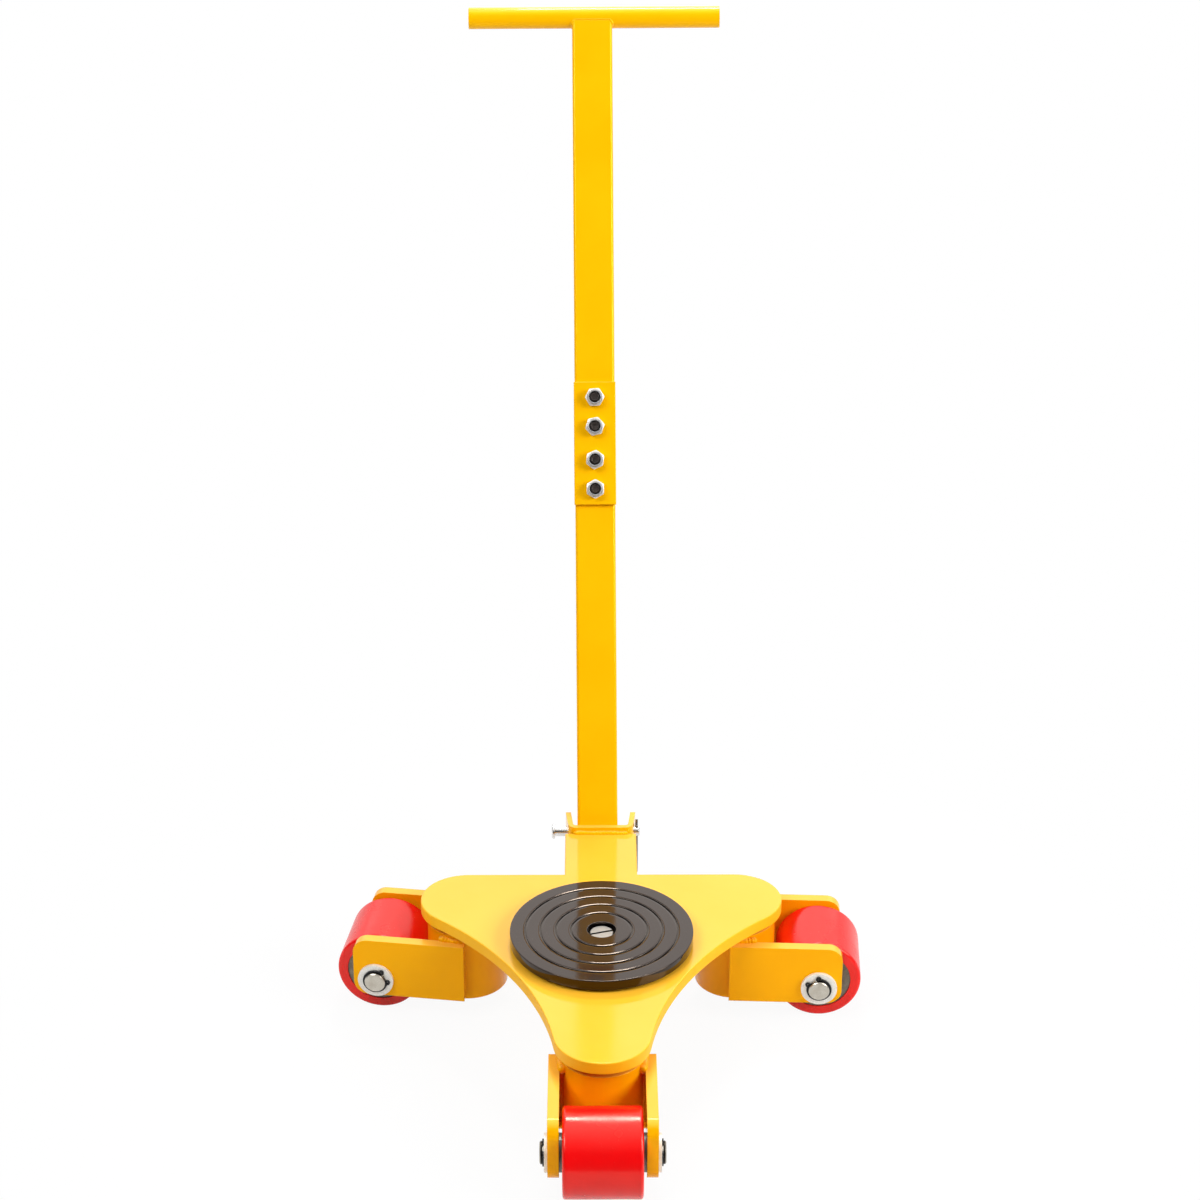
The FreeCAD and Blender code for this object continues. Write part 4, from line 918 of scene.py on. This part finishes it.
@dataclass
class SwivelCaster:
    """One swivel with its forks, welds, axle and red roller."""

    which: str
    palette: Palette
    housing_radius: float = 0.0378
    bead_start: float = -0.0045
    bead_end: float = 0.0205
    bead_radius: float = 0.0032
    bead_growth: float = 0.55
    bead_sink: float = 0.0004
    bead_points: int = 7
    seam_place: float = 0.0125
    seam_radius: float = 0.0024
    seam_gap: float = 0.002
    fork_inner_face: float = 0.0378
    axle_radius: float = 0.010
    washer_shade: float = 0.55

    def swivel_frame(self) -> Matrix:
        """Frame of the swivel at rest, with its X axis along the trail.

        Returns:
            The frame, with its origin level with the load cap.
        """
        pivot = Vector(joint("swivel_" + self.which)["pos_m"])
        axle = Vector(joint("roll_" + self.which)["pos_m"])
        heading = (axle - pivot) * Vector((1, 1, 0))
        turn = math.atan2(heading.y, heading.x)
        return Matrix.Translation(pivot) @ Matrix.Rotation(turn, 4, "Z")

    def axle_frame(self) -> Matrix:
        """Frame of the roller's axle at rest.

        Returns:
            The frame, with its Z axis along the axle.
        """
        roll = joint("roll_" + self.which)
        turn = Vector((0, 0, 1)).rotation_difference(Vector(roll["axis"]))
        return Matrix.Translation(roll["pos_m"]) @ turn.to_matrix().to_4x4()

    def wedge(self, along: float) -> float:
        """Middle of the gap between a fork's inner face and the round housing wall."""
        wall = math.sqrt(self.housing_radius ** 2 - along ** 2)
        return (self.housing_radius + wall) / 2

    def fork_beads(self, side: Side, top: float, bottom: float) -> list[WeldBead]:
        """Weld runs that hold one fork to the housing.

        Args:
            side: which fork.
            top: level of the fork's top edge.
            bottom: level of the fork's lower edge.

        Returns:
            The runs over the top edge, under the lower edge and down the seam.
        """
        place = self.swivel_frame()

        def spot(along: float, level: float) -> Vector:
            """Place in the wedge between the fork and the housing."""
            return place @ Vector((along, side.value * self.wedge(along), level))

        step = (self.bead_end - self.bead_start) / (self.bead_points - 1)
        runs = [self.bead_start + step * i for i in range(self.bead_points)]
        gaps = [self.housing_radius - self.wedge(along) for along in runs]
        sizes = [self.bead_radius + gap * self.bead_growth for gap in gaps]
        edges = (top - self.bead_sink, bottom + self.bead_sink)
        beads = [WeldBead([spot(along, level) for along in runs], sizes) for level in edges]
        ends = (top - self.seam_gap, bottom + self.seam_gap)
        seam = [spot(self.seam_place, level) for level in ends]
        return beads + [WeldBead(seam, [self.seam_radius] * 2)]

    def build(self) -> None:
        """Lay the welds of both forks."""
        for side in Side:
            word = side.name.lower()
            low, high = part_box(f"fork_plate_{word}_{self.which}")
            beads = self.fork_beads(side, high.z, low.z)
            name = f"fork_weld_{word}_{self.which}"
            weld_piece(name, beads, "caster_" + self.which, self.palette.shaded_caster_yellow)

    def dress(self) -> None:
        """Give each node its finish."""
        effects = self.palette.effects
        axis = self.axle_frame()

        def mine(*names: str) -> list[str]:
            """Names of this caster's own nodes."""
            return [f"{name}_{self.which}" for name in names]

        dress(mine("swivel_housing", "fork_plate_left", "fork_plate_right"),
              self.palette.shaded_caster_yellow)
        # Painted dark reflection on the axle's rim.
        dress(mine("axle"), TURNED_STEEL.build(effects, axis, PaintedShade(rim=self.axle_radius)))
        # Painted shade on the spacers between the forks and the roller.
        inner = PaintedShade(reach=self.fork_inner_face, share=self.washer_shade)
        dress(mine("axle_washers"), BRIGHT_ZINC.build(effects, axis, inner))
        dress(mine("kingpin_nut"), self.palette.zinc)
        dress(mine("axle_circlips"), self.palette.black_spring)
        dress(mine("kingpin"), TURNED_STEEL.build(effects, self.swivel_frame()))
        dress(mine("roller_core"), IRON_CORE.build(effects, axis))
        dress(mine("roller_tread"), RED_TREAD.build(effects))
        dress(mine("swivel_upper_race", "swivel_thrust_bearing", "pivot_bearing",
                   "roller_bearings"), self.palette.bearing)


@dataclass
class Drawbar:
    """Clevis strap at the end of the tongue, with its weld, pin and spring clip."""

    palette: Palette
    bead_half_length: float = 0.027
    bead_radius: float = 0.0026
    bead_sink: float = 0.0005
    bead_points: int = 9
    bead_ripple: float = 0.0034
    waver: float = 0.0004
    waver_rate: float = 7.0
    swell: float = 0.12
    swell_rate: float = 2.3

    def build(self) -> None:
        """Lay the weld runs between the tongue and the strap, above and below."""
        low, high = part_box("base_plate")
        count = range(self.bead_points)
        shares = [i / (self.bead_points - 1) * 2 - 1 for i in count]
        swells = [self.swell * math.sin(self.swell_rate * i) for i in count]
        sizes = [self.bead_radius * (1.0 + swell) for swell in swells]
        beads = []
        for level in (high.z + self.bead_sink, low.z - self.bead_sink):
            path = []
            for share in shares:
                lift = self.waver * math.sin(self.waver_rate * share)
                across = share * self.bead_half_length
                path.append(Vector((across, high.y - self.bead_sink, level + lift)))
            beads.append(WeldBead(path, sizes, ripple=self.bead_ripple))
        weld_piece("tongue_weld", beads, "chassis", self.palette.yellow)

    def dress(self) -> None:
        """Give each node its finish."""
        dress(["drawbar_clevis"], self.palette.yellow)
        dress(["clevis_pin"], POLISHED_PIN.build(self.palette.effects))
        dress(["pin_clip"], SPRING_WIRE.build(self.palette.effects))


@dataclass
class HexFasteners:
    """Splice bolts and lock nuts with chamfered hexagons, nylon collars and thread ridges.

    A lip's pairs say how far in and down its corners lie. A tip's pairs are shares of the
    shank's radius and depths below its end.
    """

    flats: float = 0.017
    corner_limit: float = 0.0095
    chamfer_share: float = 0.95
    chamfer_slope: float = math.tan(math.radians(30))
    bore: float = 0.00505
    nut_height: float = 0.007
    collar_height: float = 0.003
    collar_radius: float = 0.0072
    collar_bore: float = 0.0057
    collar_foot: Pair = (0.0003, 0.0004)
    collar_lip: tuple[Pair, ...] = ((0.0, 0.0005), (0.0002, 0.0001), (0.0005, 0.0))
    bore_lip: Pair = (0.0002, 0.0003)
    shank_radius: float = 0.005
    thread_depth: float = 0.0006
    thread_pitch: float = 0.0015
    thread_length: float = 0.015
    tip_rings: tuple[Pair, ...] = (
        (1.0, 0.0010), (0.82, 0.0), (0.62, 0.0), (0.56, 0.0005), (0.34, 0.0004), (0.05, 0.0008))
    head_height: float = 0.0064
    head_middle: float = 0.05
    steps: int = 72
    collar_run: int = 6

    def circles(self, rings: list[Pair]) -> list[Loop]:
        """Rings of points at each radius and level."""
        return [circle(radius, level, self.steps) for radius, level in rings]

    def hexagon(self, level: float, slope: float) -> Loop:
        """Ring of points round the hexagon, cut back by the chamfer.

        Args:
            level: level of the face that is chamfered.
            slope: way the chamfer runs, down from a top face or up from a lower one.

        Returns:
            The hexagon's edge as a scalloped ring.
        """
        half = self.flats / 2
        sixth = math.pi / 6
        points = []
        for turn in turns(self.steps):
            off = (turn + sixth) % (math.pi / 3) - sixth
            radius = min(half / math.cos(sixth - abs(off)), self.corner_limit)
            drop = max(0.0, radius - half * self.chamfer_share) * self.chamfer_slope
            across, along = radius * math.cos(turn), radius * math.sin(turn)
            points.append(Vector((across, along, level + slope * drop)))
        return points

    def nut(self) -> list[Loop]:
        """Rings of a lock nut that stands on z = 0 with its collar up.

        Returns:
            The rings from the bore's foot round the outside and back down the bore.
        """
        rim = self.flats / 2 * self.chamfer_share
        foot = self.nut_height
        top = foot + self.collar_height
        flare, drop = self.collar_foot
        wide = self.collar_radius
        collar = [(rim, foot), (wide + flare, foot), (wide, foot - drop)]
        collar += [(wide - inward, top - down) for inward, down in self.collar_lip]
        collar += [
            (self.collar_bore + self.bore_lip[0], top), (self.collar_bore, top - self.bore_lip[1]),
            (self.collar_bore, foot), (self.bore, foot - drop)]
        hexagons = [self.hexagon(0.0, 1.0), self.hexagon(foot, -1.0)]
        return self.circles([(self.bore, 0.0), (rim, 0.0)]) + hexagons + self.circles(collar)

    def paint_collars(self, nuts: Piece, collar: Material) -> None:
        """Give the faces of the collars their own finish.

        Args:
            nuts: the piece that holds the nuts, one after another.
            collar: the collars' material.
        """
        nuts.data.materials.append(collar)
        runs = len(self.nut())
        for face in nuts.data.polygons:
            if face.index // self.steps % runs >= self.collar_run:
                face.material_index = 1

    def bolt(self, seat: float, tip: float) -> list[Loop]:
        """Rings of a bolt along +Z.

        Args:
            seat: level of the face under the head.
            tip: level of the shank's end.

        Returns:
            The rings from the head's top to the shank's end.
        """
        rim = self.flats / 2 * self.chamfer_share
        crown = seat - self.head_height
        head = self.circles([(rim * self.head_middle, crown), (rim, crown)])
        head += [self.hexagon(crown, 1.0), self.hexagon(seat, 0.0)]
        shank = [(self.shank_radius, seat)]
        level = tip - self.thread_length
        while level < tip - self.thread_pitch:
            root = (self.shank_radius - self.thread_depth, level + self.thread_pitch / 2)
            shank += [(self.shank_radius, level), root]
            level += self.thread_pitch
        shank += [(self.shank_radius * share, tip - down) for share, down in self.tip_rings]
        return head + self.circles(shank)


@dataclass
class PullHandle:
    """Two tubes spliced by a bolted plate, with a round grip bar welded across the top."""

    palette: Palette
    fasteners: HexFasteners
    lean: float = 26.0
    side_lean: float = 0.28
    side_shift: float = -0.003
    length: float = 0.812
    half_width: float = 0.020
    half_depth: float = 0.010
    corner: float = 0.003
    corner_steps: int = 5
    splice_thickness: float = 0.005
    washer_thickness: float = 0.002
    splice_middle: float = 0.3866
    bolt_offsets: tuple[float, ...] = (-0.0455, -0.0165, 0.0165, 0.0455)
    nut_turns: tuple[float, ...] = (30.0, 24.0, 12.0, 2.0)
    end_recess: float = 0.0010
    grip_radius: float = 0.01065
    bead_front: float = 0.0006
    bead_side: float = 0.0019
    bead_ripple: float = 0.0022
    bead_ripple_share: float = 0.10

    def handle_frame(self) -> Matrix:
        """Frame of the handle at rest.

        Returns:
            The frame, with Z up along the tubes and -Y towards the splice plate.
        """
        pin = Matrix.Translation(joint("handle_tilt")["pos_m"])
        back = Matrix.Rotation(math.radians(-self.lean), 4, "X")
        aside = Matrix.Rotation(math.radians(-self.side_lean), 4, "Y")
        return pin @ back @ Matrix.Translation((self.side_shift, 0, 0)) @ aside

    def build_fasteners(self) -> None:
        """Put detailed bolts and lock nuts in place of the plain ones."""
        to_front = Matrix.Rotation(math.radians(90), 4, "X")
        face = self.half_depth + self.splice_thickness
        seat = -self.half_depth - self.washer_thickness
        tip = face + self.fasteners.nut_height + self.fasteners.collar_height - self.end_recess
        nut = self.fasteners.nut()
        bolt = self.fasteners.bolt(seat, tip)
        nuts = []
        bolts = []
        for offset, angle in zip(self.bolt_offsets, self.nut_turns):
            level = Matrix.Translation((0, 0, self.splice_middle + offset))
            turn = Matrix.Rotation(math.radians(angle), 4, "Z")
            place = self.handle_frame() @ level @ to_front @ turn
            stand = place @ Matrix.Translation((0, 0, face))
            nuts.append(loft([[stand @ point for point in ring] for ring in nut], True))
            bolts.append(loft([[place @ point for point in ring] for ring in bolt], False))
        for name, parts, node, slot, finish in (
            ("splice_lock_nuts", nuts, "splice_nuts", "zinc_plate", self.palette.zinc),
            ("splice_hex_bolts", bolts, "splice_bolts", "dark_bolt", self.palette.dark_bolt),
        ):
            made = piece_from(name, join_parts(parts), finish)
            if parts is nuts:
                self.fasteners.paint_collars(made, NUT_COLLAR.build(self.palette.effects))
            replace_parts(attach(made, "handle"), node)
            LOG.info("%s: %d pieces for %s", name, len(parts), node)

    def build_grip_weld(self) -> None:
        """Lay the weld round the saddle where the tube meets the grip bar."""
        place = self.handle_frame()
        straight = self.half_width - self.corner
        depth = self.half_depth - self.corner
        outline = []
        for middle, start in (((straight, depth), 0.0), ((-straight, depth), 90.0),
                              ((-straight, -depth), 180.0), ((straight, -depth), 270.0)):
            outline += quarter_round(middle, self.corner, start, self.corner_steps)
        path = []
        sizes = []
        for across, along in outline:
            below = math.sqrt(self.grip_radius ** 2 - along ** 2)
            path.append(place @ Vector((across, along, self.length - below)))
            near_side = max(0.0, (abs(across) - straight) / self.corner)
            sizes.append(self.bead_front + (self.bead_side - self.bead_front) * near_side)
        bead = WeldBead(path, sizes, True, self.bead_ripple, self.bead_ripple_share)
        weld_piece("grip_weld", [bead], "handle", self.palette.yellow)

    def build(self) -> None:
        """Make the fasteners and the grip's weld."""
        self.build_fasteners()
        self.build_grip_weld()

    def dress(self) -> None:
        """Give each node its finish."""
        dress(["lower_handle_tube", "upper_handle_tube", "splice_plate", "grip_bar"],
              self.palette.yellow)
        dress(["splice_washers", "splice_nuts"], self.palette.zinc)
        dress(["splice_bolts"], self.palette.dark_bolt)


# Studio


@dataclass(frozen=True)
class Softbox:
    """One soft lamp: its place, what it looks at, its size, its power in watts and its fade."""

    name: str
    place: Spot
    target: Spot
    width: float
    height: float
    power: float
    fade: Pair | None = None
    fade_peak: float = 2.0

    def hang(self) -> None:
        """Add the lamp to the scene."""
        lamp = bpy.data.lights.new(self.name, "AREA")
        lamp.shape = "RECTANGLE"
        lamp.size = self.width
        lamp.size_y = self.height
        lamp.energy = self.power
        if self.fade is not None:
            bench = Bench(empty_tree(lamp))
            depth = bench.along(bench.node("NewGeometry").outputs["Position"], "Y")
            strength = bench.span(depth, *self.fade, 0.0, self.fade_peak)
            glow = bench.node("Emission", {"Strength": strength})
            bench.node("OutputLight", {"Surface": glow.outputs[0]})
        made = bpy.data.objects.new(self.name, lamp)
        made.location = self.place
        aim = Vector(self.target) - Vector(self.place)
        made.rotation_euler = aim.to_track_quat("-Z", "Y").to_euler()
        made.visible_camera = False
        bpy.context.scene.collection.objects.link(made)
        LOG.info("%s: %.0f W", self.name, self.power)


@dataclass
class Studio:
    """White sweep, soft light and the camera at the photograph's place."""

    floor_level: float = -0.120
    floor_reach: float = 20.0
    floor_white: Pair = (0.74, 0.75)
    fibre_noise: Pair = (40.0, 3.0)
    fibre_range: Pair = (0.3, 0.7)
    shadow_reach: float = 0.38
    white_reach: float = 0.60
    shadow_plainness: float = 0.94
    sky_level: float = 0.35
    bright_way: Spot = (0.0, 0.77, 0.64)
    dim_share: float = -0.25
    bright_share: float = 0.70
    cloth_near: float = -0.55
    cloth_far: float = -3.2
    cloth_half_width: float = 3.5
    cloth_height: float = 0.6
    cloth_lift: float = 0.002
    nap_noise: Pair = (300.0, 3.0)
    nap_dark: Colour = (0.012, 0.012, 0.012)
    nap_light: Colour = (0.022, 0.022, 0.022)
    nap_roughness: float = 0.95
    camera_place: Spot = (-0.01087, -2.14841, 1.39510)
    camera_tilt: float = 63.84
    camera_turn: float = -0.25
    camera_reach: float = 60.0
    lens: float = 82.43
    sensor: float = 36.0
    lamps: tuple[Softbox, ...] = (
        Softbox("overhead_softbox", (0.0, -0.25, 2.3), (0.0, -0.25, 0.0), 2.4, 2.2, 10.0,
                fade=(-1.35, 0.85)),
        Softbox("rear_wall", (0.2, 3.2, 1.75), (0.0, 0.0, 0.0), 4.2, 2.0, 18.0),
        Softbox("rear_softbox", (0.12, 1.40, 2.05), (0.0, -0.15, 0.0), 0.5, 0.42, 22.0),
        Softbox("left_softbox", (-1.5, -1.2, 2.3), (0.0, 0.1, 0.1), 1.6, 1.4, 50.0),
        Softbox("right_softbox", (2.2, -0.9, 1.5), (0.0, 0.2, 0.2), 1.6, 1.4, 70.0),
    )

    def seen_directly(self, bench: Bench) -> Socket:
        """Tell straight looks from scattered light.

        Args:
            bench: the tree that asks.

        Returns:
            One where the camera, a mirror or glass looks, and zero for scattered light.
        """
        path = bench.node("LightPath").outputs
        seen = bench.plus(path["Is Camera Ray"], path["Is Glossy Ray"])
        return bench.math("MINIMUM", bench.plus(seen, path["Is Transmission Ray"]), 1.0)

    def lay_floor(self) -> None:
        """Lay a white floor that keeps a faint shadow."""
        far = self.floor_reach
        edges = ((-far, -far), (far, -far), (far, far), (-far, far))
        corners = [Vector((x, y, self.floor_level)) for x, y in edges]
        paper = bpy.data.materials.new("white_paper")
        bench = Bench(empty_tree(paper))
        spot = bench.node("TexCoord").outputs["Object"]
        clouds = bench.noise(spot, *self.fibre_noise)
        fibre = bench.span(clouds, *self.fibre_range, *self.floor_white)
        matt = bench.node("BsdfDiffuse", {"Color": fibre})
        lit = bench.node("Emission", {"Color": WHITE, "Strength": 1.0})
        away = bench.measure("LENGTH", spot)
        plainness = bench.span(
            away, self.shadow_reach, self.white_reach, self.shadow_plainness, 1.0)
        share = bench.times(self.seen_directly(bench), plainness)
        both = bench.node("MixShader", {0: share, 1: matt.outputs[0], 2: lit.outputs[0]})
        bench.node("OutputMaterial", {"Surface": both.outputs[0]})
        floor = piece_from("studio_floor", (corners, [(0, 1, 2, 3)]), paper)

    def hang_cloth(self) -> None:
        """Hang a dark cloth on the camera's side, seen only by mirrors and scattered light."""
        wide = self.cloth_half_width
        low = self.floor_level + self.cloth_lift
        edges = [(self.cloth_near, low), (self.cloth_far, low), (self.cloth_far, self.cloth_height)]
        corners = [Vector((x, y, z)) for y, z in edges for x in (-wide, wide)]
        felt = Surface("black_felt")
        nap = felt.mix(felt.noise(felt.spot, *self.nap_noise), self.nap_dark, self.nap_light)
        felt.feed(felt.shader.inputs["Base Color"], nap)
        felt.feed(felt.shader.inputs["Roughness"], self.nap_roughness)
        faces = [(0, 1, 3, 2), (2, 3, 5, 4)]
        cloth = piece_from("dark_cloth", (corners, faces), felt.material)
        cloth.visible_camera = False

    def light_world(self) -> None:
        """Fill the room with light, white behind the object and dark on the camera's side."""
        world = bpy.data.worlds.new("white_room")
        bench = Bench(empty_tree(world))
        heading = bench.node("TexCoord").outputs["Generated"]
        facing = bench.measure("DOT_PRODUCT", heading, self.bright_way)
        grade = bench.span(facing, self.dim_share, self.bright_share)
        level = bench.span(self.seen_directly(bench), 0.0, 1.0, self.sky_level, 1.0)
        camera = bench.node("LightPath").outputs["Is Camera Ray"]
        strength = bench.math("MAXIMUM", bench.times(grade, level), camera)
        white = bench.node("Background", {"Color": WHITE, "Strength": strength})
        bench.node("OutputWorld", {"Surface": white.outputs[0]})
        bpy.context.scene.world = world

    def place_camera(self) -> None:
        """Stand the camera where the photograph was taken."""
        made = bpy.data.objects.new("photo_camera", bpy.data.cameras.new("photo_camera"))
        made.location = self.camera_place
        made.rotation_euler = (math.radians(self.camera_tilt), 0.0, math.radians(self.camera_turn))
        made.data.lens = self.lens
        made.data.sensor_width = self.sensor
        made.data.clip_end = self.camera_reach
        bpy.context.scene.collection.objects.link(made)
        bpy.context.scene.camera = made

    def build(self) -> None:
        """Set up the floor, the light, the camera and the colour view."""
        self.lay_floor()
        self.hang_cloth()
        self.light_world()
        for lamp in self.lamps:
            lamp.hang()
        self.place_camera()
        bpy.context.scene.view_settings.view_transform = "Standard"


def main() -> None:
    """Dress the CAD nodes, add the scene's own pieces and set up the studio."""
    logging.basicConfig(level=logging.INFO, format="%(message)s")
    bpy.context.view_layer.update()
    palette = Palette()
    casters = [SwivelCaster(which, palette) for which in ("front", "left", "right")]
    handle = PullHandle(palette, HexFasteners())
    for assembly in (LoadTable(palette), *casters, Drawbar(palette), handle):
        assembly.build()
        assembly.dress()
    Studio().build()


if __name__ == "__main__":
    main()
